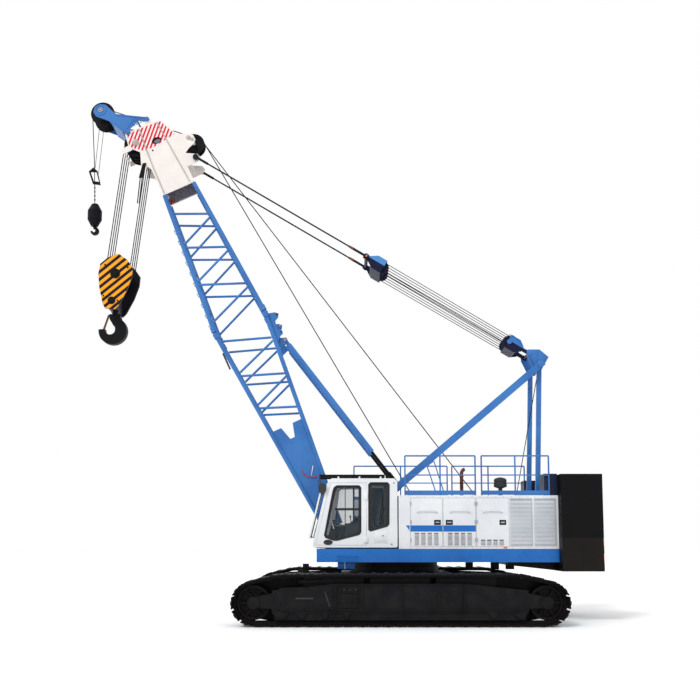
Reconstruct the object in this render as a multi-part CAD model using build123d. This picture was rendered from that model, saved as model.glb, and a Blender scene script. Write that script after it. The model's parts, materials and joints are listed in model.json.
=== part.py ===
from build123d import *
import math
import os

# A lattice-boom crawler crane. Millimetres, +X to the front, +Y to the machine's left, +Z up.
# The origin lies on the ground under the slewing axis.

# Crawlers
crawler_length = 7640.0
track_gauge = 5000.0
shoe_width = 900.0
shoe_count = 56
shoe_thickness = 42.0
shoe_gap = 16.0
ridge_height = 16.0
ridge_width = 70.0
link_height = 62.0
link_width = 330.0
wheel_outer_radius = 522.0
track_top = 1182.0
top_run_slope = 12.0
wheel_play = 8.0
roller_radius = 115.0
roller_half_width = 150.0
roller_count = 10
frame_width = 520.0
frame_bottom = 300.0
frame_top = 950.0
frame_end_top = 800.0
frame_shoulder_x = 1440.0
frame_clearance = 28.0
frame_flange = 26.0
guard_bottom = 132.0
skid_clearance = 16.0

# Carbody and slewing ring
carbody_half_length = 1350.0
carbody_bottom = 520.0
carbody_top = 1130.0
ring_radius = 1130.0
ring_gap = 8.0
deck_bottom = 1400.0
deck_top = 1720.0

# Revolving deck
upper_half_width = 1550.0
deck_front = 1930.0
deck_rear = -3880.0
web_inner = 600.0
web_thickness = 40.0
side_beam_width = 150.0
floor_plate = 50.0
weld_gap = 0.6

# Boom foot and boom
foot_x = 1480.0
foot_z = 2100.0
boom_angle = 65.3
joint_s = 5930.0
lattice_end_s = 9930.0
foot_half_depth = 190.0
joint_half_depth = 700.0
head_half_depth = 420.0
foot_half_width = 500.0
joint_half_width = 660.0
head_half_width = 400.0
chord_radius = 55.0
lacing_radius = 30.0
pin_radius = 60.0

# Cab
cab_rear = -10.0
cab_front = 2020.0
cab_inner = 790.0
cab_floor = 1740.0
cab_roof = 3410.0
cab_wall = 60.0
cab_door_rear = 740.0
windscreen_rake = 380.0

# Machinery houses
house_front = -40.0
house_rear = -3880.0
house_inner = 830.0
house_roof = 3000.0
house_wall = 40.0
right_house_front = 1030.0
door_gap = 6.0
door_sill = 1775.0
door_head = 2935.0

# Counterweight
weight_front = -3890.0
weight_rear = -4880.0
weight_half_width = 1830.0
weight_bottom = 1190.0
weight_seam = 1980.0
weight_top = 3500.0

# Gantry
strut_foot = (1220.0, 2170.0)
gantry_pin = (-3710.0, 6370.0)
strut_pin_radius = 45.0
link_pin_radius = 40.0
strut_depth = 170.0
strut_width = 120.0
strut_inner = 652.0
link_inner = 520.0
link_width_y = 70.0
link_foot = (-3560.0, 1720.0)

# Luffing gear
luff_anchor = (-3520.0, 6740.0)
pendant_lug_n = -750.0
pendant_lug_s = 10530.0
floating_reach = 4930.0
pendant_y = 470.0
luff_rope_radius = 150.0
luff_sheave_flange = 22.0
luff_housing_half_depth = 190.0
gantry_block_half_width = 330.0

# Backstops
backstop_foot = (-100.0, 3290.0)
backstop_lug_n = -870.0
backstop_lug_s = 5060.0
backstop_y = 440.0

# Boom head and tip jib
head_sheave_n = 540.0
head_sheave_s = 11590.0
head_rope_radius = 290.0
guide_sheave_n = -860.0
guide_sheave_s = 11050.0
tip_sheave_n = 1025.0
tip_sheave_s = 12795.0
tip_rope_radius = 275.0
jib_front_pin = (610.0, 11935.0)
jib_rear_pin = (10.0, 12060.0)
jib_half_width = 430.0

# Hook blocks
block_x = 7240.0
block_z = 8830.0
block_lean = 7.0
block_half_width = 440.0
aux_ball_z = 10560.0
aux_rope_lean = 0.03


def span(x, y, z):
    """A box between pairs of limits."""
    size = (x[1] - x[0], y[1] - y[0], z[1] - z[0])
    middle = ((x[0] + x[1]) / 2, (y[0] + y[1]) / 2, (z[0] + z[1]) / 2)
    return Pos(*middle) * Box(*size)


def plate(points, y, corner=0.0):
    """A flat plate that stands in the XZ plane, from y[0] to y[1]."""
    outline = make_face(Polyline(*points, close=True))
    if corner:
        outline = fillet(outline.vertices(), corner)
    return extrude(Plane.XZ.offset(-y[0]) * outline, amount=y[0] - y[1])


def cross_shaft(x, z, radius, y):
    """A cylinder across the machine, from y[0] to y[1]."""
    return Pos(x, (y[0] + y[1]) / 2, z) * Rot(90, 0, 0) * Cylinder(radius, y[1] - y[0])


def post(x, y, radius, z):
    return Pos(x, y, (z[0] + z[1]) / 2) * Cylinder(radius, z[1] - z[0])


def rod(start, end, radius, seam=(0, 1, 0)):
    """A round bar, its seam turned to the side that seam names."""
    axis = Vector(*end) - Vector(*start)
    along = axis.normalized()
    towards = Vector(*seam)
    across_axis = towards - along * towards.dot(along)
    return Solid.make_cylinder(radius, axis.length, Plane(origin=start, x_dir=across_axis, z_dir=axis))


def other_side(shape):
    return mirror(shape, about=Plane.XZ)




def fused(shapes):
    return shapes[0].fuse(*shapes[1:]) if len(shapes) > 1 else shapes[0]


def solids_of(shapes):
    found = []
    for shape in shapes:
        found.extend(shape.solids())
    return found


def save(name, *shapes):
    export_step(Compound(children=solids_of(shapes)), f"parts/{name}.step")


def sheave(x, z, rope_radius, y_middle, bore, width=52.0, flange=40.0):
    """A rope sheave: a grooved rim with a thinner web and a hub."""
    rim = rope_radius + flange
    half = width / 2
    rim_inner = rope_radius - 45
    hub = bore + 40
    profile = make_face(Polyline(
        (bore, -half), (hub, -half), (hub, -half / 3), (rim_inner, -half / 3), (rim_inner, -half), (rim, -half),
        (rim, -half * 0.7), (rope_radius, -half * 0.25), (rope_radius, half * 0.25), (rim, half * 0.7), (rim, half),
        (rim_inner, half), (rim_inner, half / 3), (hub, half / 3), (hub, half), (bore, half), close=True))
    return Pos(x, y_middle, z) * revolve(profile, axis=Axis.Y)


def sheaves(x, z, rope_radius, ys, shaft_radius, flange=40.0):
    """Sheaves on one shaft, each free of it by a hair."""
    return [sheave(x, z, rope_radius, y, shaft_radius + weld_gap, flange=flange) for y in ys]


# Frames of reference of the leaning parts
boom_place = Location((foot_x, 0, foot_z), (0, 90 - boom_angle, 0))
block_place = Location((block_x, 0, block_z), (0, -block_lean, 0))


def boom_point(n, s):
    """The machine's X and Z of a point n in front of the boom's centre line and s from its foot."""
    angle = math.radians(boom_angle)
    x = foot_x + s * math.cos(angle) + n * math.sin(angle)
    z = foot_z + s * math.sin(angle) - n * math.cos(angle)
    return x, z


def line_place(start, end):
    """A frame at start whose X axis runs to end, both (x, z)."""
    slope = math.degrees(math.atan2(end[1] - start[1], end[0] - start[0]))
    return Location((start[0], 0, start[1]), (0, -slope, 0)), math.dist(start, end)


# Crawler tracks

wheel_x = crawler_length / 2 - wheel_outer_radius
link_line = shoe_thickness + link_height / 2


def track_path():
    """The line through the link pins, inset from the outer faces of the shoes."""
    radius = wheel_outer_radius - link_line
    top = track_top - link_line
    slope = math.radians(top_run_slope)
    leave_x = wheel_x + radius * math.sin(slope)
    leave_z = wheel_outer_radius + radius * math.cos(slope)
    turn_x = leave_x - (top - leave_z) / math.tan(slope)
    nose_x = wheel_x + radius * math.cos(slope / 2)
    nose_z = wheel_outer_radius - radius * math.sin(slope / 2)
    return Wire([
        Line((-wheel_x, link_line), (wheel_x, link_line)),
        ThreePointArc((wheel_x, link_line), (nose_x, nose_z), (leave_x, leave_z)),
        Line((leave_x, leave_z), (turn_x, top)),
        Line((turn_x, top), (-turn_x, top)),
        Line((-turn_x, top), (-leave_x, leave_z)),
        ThreePointArc((-leave_x, leave_z), (-nose_x, nose_z), (-wheel_x, link_line)),
    ])


def chain_outline(pins, reach):
    """The link pins moved outward by reach."""
    moved = []
    for before, pin, after in zip(pins[-1:] + pins[:-1], pins, pins[1:] + pins[:1]):
        heading = (after - before).normalized()
        moved.append((pin.X + reach * heading.Y, pin.Y - reach * heading.X))
    return moved


def track_shoe(start, end, y):
    """A flat shoe over one link, with a ridge across its outer face."""
    along = (end - start).normalized()
    middle = (start + end) / 2
    half = (end - start).length / 2 - shoe_gap / 2
    inner = link_height / 2
    tip = inner + shoe_thickness
    face = tip - ridge_height
    crest = ridge_width / 2
    root = crest + ridge_height
    profile = [(-half, inner), (half, inner), (half, face), (root, face), (crest, tip),
               (-crest, tip), (-root, face), (-half, face)]
    points = [(middle.X + a * along.X + b * along.Y, middle.Y + a * along.Y - b * along.X) for a, b in profile]
    return plate(points, y)


def track_loop(side):
    """A closed chain of links with a shoe across each."""
    middle = side * track_gauge / 2
    path = track_path()
    pins = [path.position_at(index / shoe_count) for index in range(shoe_count)]
    chain_y = (middle - link_width / 2, middle + link_width / 2)
    shoe_y = (middle - shoe_width / 2, middle + shoe_width / 2)
    overlap = 3.0
    chain = plate(chain_outline(pins, link_height / 2 + overlap), chain_y)
    chain -= plate(chain_outline(pins, -link_height / 2), chain_y)
    shoes = [track_shoe(start, end, shoe_y) for start, end in zip(pins, pins[1:] + pins[:1])]
    return chain.fuse(*shoes)


def tread_radius():
    """The radius of a wheel that clears the flat backs of the links."""
    pitch = track_path().length / shoe_count
    return math.sqrt((wheel_outer_radius - link_line) ** 2 - (pitch / 2) ** 2) - link_height / 2 - wheel_play


def track_wheel(side, end):
    """An idler or drive wheel: a tread, a dished outer face with ribs, and a hub."""
    middle = side * track_gauge / 2
    radius = tread_radius()
    x, z = end * wheel_x, wheel_outer_radius
    half = roller_half_width
    hub_radius = 150.0
    rim_depth = 60.0
    tread = cross_shaft(x, z, radius, (middle - half, middle + half))
    dish_y = sorted((middle + side * (half - 85), middle + side * (half + 5)))
    dish = cross_shaft(x, z, radius - rim_depth, dish_y)
    hub = cross_shaft(x, z, hub_radius, (middle - half - 60, middle + half + 60))
    rib_y = sorted((middle + side * (half - 90), middle + side * (half - 20)))
    rib = span((hub_radius - 10, radius - rim_depth + 10), rib_y, (-22, 22))
    ribs = [Location((x, 0, z), (0, 60 * index, 0)) * rib for index in range(6)]
    return fused([tread - dish, hub] + ribs)


def wheel_fork(side, end, cheek):
    """One cheek of the fork that carries a wheel, with the boss of its shaft."""
    middle = side * track_gauge / 2
    outer = middle + cheek * frame_width / 2
    root = wheel_x - tread_radius() - 180
    tip = wheel_x + 60
    axle = wheel_outer_radius
    arm = plate([(end * root, axle - 140), (end * tip, axle - 100), (end * tip, axle + 120),
                 (end * root, axle + 240)], sorted((outer, outer - cheek * 40)))
    boss = cross_shaft(end * wheel_x, axle, 140, sorted((outer - cheek * 40, outer + cheek * 30)))
    return arm + boss


def track_frame(side):
    """The box beam between the wheels, with flanges and ribs outside, roller guards under it and skids on it."""
    middle = side * track_gauge / 2
    half = frame_width / 2
    frame_end = wheel_x - tread_radius() - frame_clearance
    parts = [plate([(-frame_end, frame_bottom), (frame_end, frame_bottom), (frame_end, frame_end_top),
                    (frame_shoulder_x, frame_top), (-frame_shoulder_x, frame_top), (-frame_end, frame_end_top)],
                   (middle - half, middle + half))]
    roller_y = (middle - roller_half_width - 15, middle + roller_half_width + 15)
    parts[0] -= span((-frame_end - 5, frame_end + 5), roller_y, (frame_bottom - 5, frame_bottom + 55))
    proud = sorted((middle, middle + side * (half + frame_flange)))
    parts.append(span((-frame_end, frame_end), proud, (frame_bottom + 55, frame_bottom + 85)))
    parts.append(span((-frame_shoulder_x, frame_shoulder_x), proud, (frame_top - 30, frame_top)))
    for x in (-frame_shoulder_x, -frame_shoulder_x * 0.6, frame_shoulder_x * 0.6, frame_shoulder_x):
        parts.append(span((x - 18, x + 18), proud, (frame_bottom + 60, frame_top - 10)))
    for y in (middle - half + 25, middle + half - 45):
        parts.append(span((-frame_end + 60, frame_end - 60), (y, y + 20), (guard_bottom, frame_bottom + 10)))
    skid_top = track_top - shoe_thickness - link_height - skid_clearance
    for x in (-frame_shoulder_x - 60, 0, frame_shoulder_x + 60):
        parts.append(span((x - 680, x + 680), (middle - 90, middle + 90), (frame_top - 100, skid_top)))
    parts += [wheel_fork(side, end, cheek) for end in (-1, 1) for cheek in (-1, 1)]
    return fused(parts)


def bottom_rollers(side):
    """The rollers that carry the frame on the links, each hung on two brackets."""
    middle = side * track_gauge / 2
    half = roller_half_width
    z = shoe_thickness + link_height + roller_radius + wheel_play
    first = wheel_x - wheel_outer_radius - 150
    step = 2 * first / (roller_count - 1)
    rollers = []
    for index in range(roller_count):
        x = -first + index * step
        wheel = cross_shaft(x, z, roller_radius, (middle - half, middle + half))
        shaft = cross_shaft(x, z, 38, (middle - half - 45, middle + half + 45))
        hangers = [span((x - 60, x + 60), (y - 13, y + 13), (z - 60, frame_bottom))
                   for y in (middle - half - 32, middle + half + 32)]
        rollers.append(fused([wheel, shaft] + hangers))
    return rollers


# Carbody

def carbody():
    """The box between the crawlers, with two hollow beams that reach the track frames."""
    reach = track_gauge / 2 - frame_width / 2
    centre = span((-carbody_half_length, carbody_half_length), (-1150, 1150), (carbody_bottom, carbody_top))
    beams = [span((x - 260, x + 260), (-reach, reach), (carbody_bottom + 60, carbody_top - 120))
             for x in (-carbody_half_length + 300, carbody_half_length - 300)]
    return fused([centre] + beams)


def slewing_ring():
    lower = Pos(0, 0, (carbody_top + deck_bottom - 110) / 2) * Cylinder(ring_radius, deck_bottom - 110 - carbody_top)
    return lower


# Revolving deck

def pin_across(place, radius, y):
    return cross_shaft(place[0], place[1], radius, y)


def turntable():
    """A ring and a floor plate, two long webs, cross plates, and the pins of the boom, the links and the struts."""
    floor_top = deck_bottom + floor_plate
    ring = post(0, 0, ring_radius - 30, (deck_bottom - 110 + ring_gap, deck_bottom - weld_gap))
    floor = span((deck_rear, deck_front - 230), (-web_inner - 160, web_inner + 160), (deck_bottom, floor_top))
    base = floor_top + weld_gap
    rear_top = deck_top + 230
    web = plate([(deck_rear, base), (foot_x + 270, base), (foot_x + 270, foot_z + 80), (foot_x + 140, foot_z + 220),
                 (foot_x - 140, foot_z + 220), (foot_x - 780, foot_z + 50), (-600, rear_top), (deck_rear, rear_top)],
                (web_inner, web_inner + web_thickness))
    outside = web_inner + web_thickness
    pins = [
        ((foot_x, foot_z), pin_radius, (foot_half_width - 70, outside + 30)),
        (link_foot, link_pin_radius, (link_inner - 20, outside)),
        (strut_foot, strut_pin_radius, (web_inner, strut_inner + strut_width + 12)),
    ]
    half = []
    for place, radius, y in pins:
        web -= pin_across(place, radius + weld_gap, (0, upper_half_width))
        half.append(pin_across(place, radius, y))
    half.append(web)
    reach = web_inner - weld_gap
    plates = [span((x - 20, x + 20), (-reach, reach), (base, base + 300)) for x in (-3400, -1500, 300)]
    return [ring, floor] + plates + half + [other_side(shape) for shape in half]


def deck_beams():
    """The side beams that carry the cab and the houses, and the ribs that join them to the webs."""
    inner = web_inner + web_thickness + 125
    shapes = []
    for side in (-1, 1):
        front = deck_front if side > 0 else right_house_front + 60
        beam_y = sorted((side * (upper_half_width - side_beam_width), side * upper_half_width))
        rib_y = sorted((side * inner, side * (upper_half_width - side_beam_width)))
        parts = [span((deck_rear, front), beam_y, (deck_bottom, deck_top))]
        parts += [span((x - 60, x + 60), rib_y, (deck_bottom + 60, deck_top - 40))
                  for x in (-3600, -2700, -1800, -900, 0, 850)]
        parts.append(span((deck_rear, front - 60), rib_y, (deck_top - 40, deck_top)))
        shapes.append(fused(parts))
    return shapes


# Cab

def cab_profile(inset=0.0):
    """The cab seen from the side, or its inner face with the walls' thickness as inset."""
    rear = cab_rear + inset
    front = cab_front - inset
    floor = cab_floor + inset
    roof = cab_roof - inset
    waist = cab_floor + 130
    return [(rear, floor), (front, floor), (front, waist), (front - windscreen_rake + 40, roof - 110),
            (front - windscreen_rake - 60, roof), (rear + 70, roof), (rear, roof - 70)]


def door_outline(grow=0.0):
    """The cab door seen from the side, a little bigger or smaller by grow."""
    rear = cab_door_rear - grow
    sill = cab_floor + 70 - grow
    front = cab_front - 75 + grow
    head = cab_roof - 110 + grow
    rake = windscreen_rake * (head - cab_floor - 130) / (cab_roof - cab_floor - 130)
    return [(rear, sill), (front, sill), (front, cab_floor + 120), (front - rake, head), (rear, head)]


def door_window():
    rear = cab_door_rear + 130
    head = cab_roof - 180
    return [(rear, cab_floor + 330), (rear + 610, cab_floor + 170), (cab_front - 270, cab_floor + 260),
            (cab_front - 480, head - 120), (cab_front - 530, head), (rear, head)]


def rear_side_window():
    front = cab_door_rear - 60
    head = cab_roof - 105
    return [(cab_rear + 205, cab_floor + 530), (front, cab_floor + 390), (front, head), (cab_rear + 195, head)]


def right_window():
    rear = cab_rear + 300
    sill = cab_floor + 560
    head = cab_roof - 210
    return [(rear, sill), (cab_front - 500, sill), (cab_front - 620, head), (rear, head)]


def rear_window(x):
    return span(x, (cab_inner + 120, upper_half_width - 120), (cab_floor + 710, cab_roof - 160))


def windscreen(thickness, play):
    """The slanted pane, or the hole that it fills when play widens it."""
    y = (cab_inner + 80 - play, upper_half_width - 80 + play)
    foot = (cab_front, cab_floor + 130)
    top = (cab_front - windscreen_rake + 40, cab_roof - 110)
    place, length = line_place(foot, top)
    return place * span((110 - play, length - 60 + play), y, thickness)


def cab_shell():
    """The cab's walls with the holes of its door and windows."""
    y = (cab_inner, upper_half_width)
    corner = 60.0
    shell = plate(cab_profile(), y, corner)
    shell -= plate(cab_profile(cab_wall), (y[0] + cab_wall, y[1] - cab_wall), corner / 2)
    through = (y[1] - cab_wall - 5, y[1] + 5)
    shell -= plate(door_outline(door_gap), through)
    shell -= plate(rear_side_window(), through, 45)
    shell -= plate(right_window(), (y[0] - 5, y[0] + cab_wall + 5), 45)
    shell -= windscreen((-5, cab_wall + 5), 4)
    shell -= rear_window((cab_rear - 5, cab_rear + cab_wall + 5))
    return shell


def cab_glass():
    """Panes that fill the windows, each a separate sheet."""
    side = plate(rear_side_window(), (upper_half_width - 34, upper_half_width - 22), 45)
    right = plate(right_window(), (cab_inner + 22, cab_inner + 34), 45)
    return [side, right, rear_window((cab_rear + 22, cab_rear + 34)), windscreen((12, 24), 0)]


def cab_door():
    y = (upper_half_width - 45, upper_half_width)
    return plate(door_outline(), y) - plate(door_window(), (y[0] - 5, y[1] + 5), 45)


def cab_door_glass():
    return plate(door_window(), (upper_half_width - 28, upper_half_width - 16), 45)


def cab_seat():
    """The driver's seat on its pedestal."""
    width = upper_half_width - cab_inner
    middle = cab_inner + width / 2
    half = width * 0.27
    low = cab_floor + cab_wall
    pan = cab_floor + 390
    base = span((480, 880), (middle - half * 0.8, middle + half * 0.8), (low, pan))
    cushion = span((420, 960), (middle - half, middle + half), (pan, pan + 130))
    back = plate([(400, pan + 130), (530, pan + 130), (440, pan + 770), (330, pan + 770)],
                 (middle - half, middle + half))
    return base + cushion + back


def cab_console():
    """The lever consoles beside the seat and the instrument panel ahead of it."""
    y = (cab_inner + cab_wall, upper_half_width - cab_wall)
    z = (cab_floor + cab_wall, cab_floor + 590)
    depth = (upper_half_width - cab_inner) * 0.11
    boxes = [span((560, 1240), near, z) for near in ((y[0], y[0] + depth), (y[1] - depth, y[1]))]
    panel = plate([(cab_front - 520, z[0]), (cab_front - 300, z[0]), (cab_front - 460, z[1] + 90),
                   (cab_front - 540, z[1] + 90)], (y[0] + depth * 0.7, y[0] + depth * 2.9))
    return boxes + [panel]


def cab_guard():
    """The bar frame over the roof, on short feet, that stands out over the windscreen."""
    x = (cab_rear + 300, cab_front - 150)
    y = (cab_inner + 40, upper_half_width - 40)
    z = (cab_roof + 25, cab_roof + 95)
    bar = 40.0
    rails = (y[0], y[1] - bar)
    bars = [span(x, (rail, rail + bar), z) for rail in rails]
    count = 5
    for index in range(count):
        start = x[0] + (x[1] - bar - x[0]) * index / (count - 1)
        bars.append(span((start, start + bar), y, z))
    for start in (x[0] + 60, x[0] + 560, x[0] + 1060):
        bars += [span((start, start + bar), (rail, rail + bar), (cab_roof, z[1])) for rail in rails]
    return fused(bars)


# Machinery houses

left_doors = {
    "house_door_front": (-1100.0, -310.0),
    "house_door_middle": (-1900.0, -1100.0),
    "house_door_rear": (-2700.0, -1900.0),
}
right_doors = {
    "right_door_front": (-60.0, 880.0),
    "right_door_rear": (-1000.0, -60.0),
}


def house_shell(side, front, doors):
    y = sorted((side * house_inner, side * upper_half_width))
    shell = span((house_rear, front), y, (deck_top, house_roof))
    shell -= span((house_rear + house_wall, front - house_wall), (y[0] + house_wall, y[1] - house_wall),
                  (deck_top - 5, house_roof - house_wall))
    wall_y = sorted((side * (upper_half_width - house_wall - 5), side * (upper_half_width + 5)))
    for low, high in doors:
        shell -= span((low + door_gap, high - door_gap), wall_y, (door_sill - door_gap, door_head + door_gap))
    return shell


def house_door(side, limits):
    y = sorted((side * (upper_half_width - house_wall), side * upper_half_width))
    return span((limits[0] + 2 * door_gap, limits[1] - 2 * door_gap), y, (door_sill, door_head))


def louvre_panel(side, x):
    """A framed panel with a row of sloping slats."""
    face = side * upper_half_width
    y = sorted((face, face + side * 14))
    border = 30.0
    low, high = door_sill + 15, door_head - 5
    hole_x = (x[0] + border, x[1] - border)
    frame = span(x, y, (low, high)) - span(hole_x, (y[0] - 1, y[1] + 1), (low + border, high - border))
    back = span(hole_x, sorted((face, face + side * 4)), (low + border, high - border))
    count = 12
    pitch = (high - low - 2 * border) / count
    slats = [span(hole_x, y, (z + pitch * 0.2, z + pitch * 0.5))
             for z in (low + border + index * pitch for index in range(count))]
    return fused([frame, back] + slats)


def engine():
    return span((-3300, -1500), (-upper_half_width + 180, -house_inner - 80), (deck_top, house_roof - 300))


def winch(x, drum_radius, length):
    """A rope drum with its two flanges, across the bay."""
    z = deck_top + 430
    half = length / 2
    drum = cross_shaft(x, z, drum_radius, (-half, half))
    flanges = [cross_shaft(x, z, drum_radius + 130, (y - 15, y + 15)) for y in (-half, half)]
    low = deck_bottom + floor_plate
    stands = [span((x - 140, x + 140), (y - 25, y + 25), (low, z)) for y in (-half - 40, half + 40)]
    return fused([drum] + flanges + stands)


def railing(x0, x1, side):
    """Posts, a top rail, a middle rail and a toe board along one roof edge."""
    y = side * (upper_half_width - 50)
    low = house_roof
    top = low + 960
    parts = [span((x0, x1), (y - 17, y + 17), (top - 17, top + 17)),
             span((x0, x1), (y - 14, y + 14), (low + 480, low + 508)),
             span((x0, x1), (y - 5, y + 5), (low + 15, low + 120))]
    for x in (x0, (x0 + x1) / 2, x1):
        parts.append(span((x - 17, x + 17), (y - 17, y + 17), (low, top)))
    return fused(parts)


def exhaust():
    """A stack on a mesh box."""
    base = span((-1950, -1400), (700, 1160), (house_roof, house_roof + 90))
    stack = post(-1640, 930, 45, (house_roof + 90, house_roof + 700))
    return base + stack


def air_cleaner():
    stem = post(-2600, 930, 70, (house_roof, house_roof + 200))
    cap = post(-2600, 930, 160, (house_roof + 200, house_roof + 480))
    return stem + cap
    return stem + cap


# Counterweight

def weight_base():
    """The tray, and the wedge in front of it under the deck."""
    tray = span((weight_rear, weight_front), (-weight_half_width, weight_half_width), (weight_bottom, weight_seam))
    heel = weight_front + 2
    tip = weight_front + 1170
    top = deck_bottom - weld_gap
    wedge = plate([(heel, weight_bottom + 5), (tip, deck_bottom - 80), (tip, top), (heel, top)], (-1100, 1100))
    return [tray, wedge]


def weight_slabs():
    left = span((weight_rear, weight_front), (900, weight_half_width), (weight_seam, weight_top))
    centre = span((weight_rear, weight_front - 80), (-890, 890), (weight_seam, weight_seam + 700))
    return [left, other_side(left), centre]


def weight_guides():
    """The boxes on the houses' roofs that the slabs stand against."""
    x = (weight_front + 2, weight_front + 320)
    left = span(x, (1000, upper_half_width - 80), (house_roof, weight_top + 30))
    return [left, other_side(left)]


# Gantry

def gantry_struts():
    """The front legs with their ties, and the head that carries the luffing gear."""
    place, length = line_place(strut_foot, gantry_pin)
    y = (strut_inner, strut_inner + strut_width)
    leg = place * (span((-90, length + 90), y, (-strut_depth / 2, strut_depth / 2))
                   - cross_shaft(0, 0, strut_pin_radius + 1, (0, 900)))
    ties = [place * span((length * at - 60, length * at + 60), (-y[0], y[0]), (-50, 50)) for at in (0.55, 0.9)]
    lug = pin_across(backstop_foot, 45, (backstop_y - 60, y[0] + 5))
    x, z = gantry_pin
    ax, az = luff_anchor
    outline = [(x - 90, z - 90), (x + 90, z - 90), (ax + 90, az - 60), (ax + 60, az + 90), (x - 60, az + 90),
               (x - 290, z + 260)]
    cheek = plate(outline, (360, 395)) - cross_shaft(ax, az, 46, (0, 900))
    shaft = cross_shaft(x, z, 55, (-y[1] - 20, y[1] + 20))
    return fused([leg, other_side(leg), cheek, other_side(cheek), shaft, lug, other_side(lug)] + ties)


def gantry_links():
    """The rear legs, from the gantry's head down into the deck."""
    y = (link_inner, link_inner + link_width_y)
    place, length = line_place(link_foot, gantry_pin)
    leg = place * (span((-90, length + 90), y, (-60, 60)) - cross_shaft(0, 0, 41, (0, 900))
                   - cross_shaft(length, 0, 56, (0, 900)))
    return [leg, other_side(leg)]


# Luffing gear

lug_xz = boom_point(pendant_lug_n, pendant_lug_s)
luff_place, luff_length = line_place(luff_anchor, lug_xz)


def luff_housing(lug, axle, mouth, half_width):
    """The hollow body round one set of luffing sheaves, open at its mouth, as cheeks and thin top and bottom sheets."""
    outward = 1 if mouth > lug else -1
    deep = luff_housing_half_depth
    sheet = 12.0
    shoulder = axle - outward * (deep + 40)
    half = [(lug, 70), (shoulder, deep), (mouth, deep)]
    outline = half + [(x, -z) for x, z in reversed(half)]
    hollow = [(lug - outward * 90, 70 - sheet), (shoulder, deep - sheet), (mouth + outward * 5, deep - sheet)]
    inside = hollow + [(x, -z) for x, z in reversed(hollow)]
    return plate(outline, (-half_width, half_width)) - plate(inside, (-half_width + sheet, half_width - sheet))


def gantry_block():
    """The sheaves at the gantry's end of the luffing falls, in a housing on two link bars."""
    half = gantry_block_half_width
    axle = 600.0
    body = [luff_housing(210, axle, axle + 40, half), cross_shaft(axle, 0, 45, (-half - 12, half + 12)),
            cross_shaft(0, 0, 45, (-405, 405))]
    for y in (-half + 6, half - 30):
        body.append(span((-60, 420), (y, y + 24), (-50, 50)))
    wheels = sheaves(axle, 0, luff_rope_radius, (-240, -120, 0, 120, 240), 45, luff_sheave_flange)
    return [luff_place * shape for shape in [fused(body)] + wheels]


def floating_block():
    """The sheaves at the boom's end of the luffing falls, in a housing with the lugs of the pendants."""
    half = pendant_y - 24
    axle = floating_reach - 490
    body = [luff_housing(floating_reach - 80, axle, axle - 40, half),
            cross_shaft(axle, 0, 45, (-half - 1, half + 1)),
            cross_shaft(floating_reach, 0, 45, (-pendant_y - 40, pendant_y + 40))]
    for y in (-half, half - 12):
        body.append(span((floating_reach - 260, floating_reach + 70), (y, y + 12), (-70, 70)))
    wheels = sheaves(axle, 0, luff_rope_radius, (-300, -150, 0, 150, 300), 45, luff_sheave_flange)
    return [luff_place * shape for shape in [fused(body)] + wheels]


def pendants():
    """The two stays from the floating block to the boom head, each with an eye and a socket at its ends."""
    y = (pendant_y - 22, pendant_y + 22)
    bar = rod((floating_reach + 60, pendant_y, 0), (luff_length - 60, pendant_y, 0), 20)
    eye = cross_shaft(luff_length, 0, 75, y)
    socket = rod((luff_length - 380, pendant_y, 0), (luff_length - 60, pendant_y, 0), 32)
    near = cross_shaft(floating_reach, 0, 75, y) - cross_shaft(floating_reach, 0, 46, (0, 900))
    near_socket = rod((floating_reach + 74, pendant_y, 0), (floating_reach + 380, pendant_y, 0), 32)
    line = luff_place * (bar + eye + socket + near + near_socket)
    return [line, other_side(line)]


# Backstops

backstop_lug = boom_point(backstop_lug_n, backstop_lug_s)
backstop_place, backstop_length = line_place(backstop_foot, backstop_lug)
tube_start = 1100.0


def backstop_rods():
    eye = cross_shaft(0, 0, 95, (backstop_y - 35, backstop_y + 35)) - cross_shaft(0, 0, 46, (0, 900))
    bar = rod((80, backstop_y, 0), (3200, backstop_y, 0), 36)
    lower = rod((80, backstop_y, 0), (420, backstop_y, 0), 60)
    shape = backstop_place * (eye + bar + lower)
    return [shape, other_side(shape)]


def backstop_tubes():
    outer = rod((tube_start, backstop_y, 0), (backstop_length - 150, backstop_y, 0), 68)
    bore = rod((tube_start - 5, backstop_y, 0), (backstop_length - 260, backstop_y, 0), 42)
    neck = span((backstop_length - 200, backstop_length), (backstop_y - 22, backstop_y + 22), (-45, 45))
    eye = cross_shaft(backstop_length, 0, 60, (backstop_y - 22, backstop_y + 22))
    shape = backstop_place * ((outer - bore) + neck + eye)
    return [shape, other_side(shape)]


# Boom

def boom_halves(s):
    """Half the depth and half the width of the lattice at s."""
    if s <= joint_s:
        share = s / joint_s
        depth = foot_half_depth + share * (joint_half_depth - foot_half_depth)
        width = foot_half_width + share * (joint_half_width - foot_half_width)
    else:
        share = (s - joint_s) / (lattice_end_s - joint_s)
        depth = joint_half_depth + share * (head_half_depth - joint_half_depth)
        width = joint_half_width + share * (head_half_width - joint_half_width)
    return depth, width


def chord_point(s, front, side):
    depth, width = boom_halves(s)
    return front * depth, side * width, s


def zigzag(first, last, count):
    """Places of the lacing's nodes along the boom, the bays growing with its depth."""
    growth = 1.04
    total = sum(growth ** index for index in range(count))
    step = (last - first) / total
    places = [first]
    for index in range(count):
        places.append(places[-1] + step * growth ** index)
    return places


def chord(first, last, front, side, radius):
    """One chord between two places, its seam turned away from the lacing."""
    return rod(chord_point(first, front, side), chord_point(last, front, side), radius, (front, 0, 0))


def saddle_cut(bar, chords):
    for tube in chords:
        bar = bar - tube
    return bar


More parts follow.
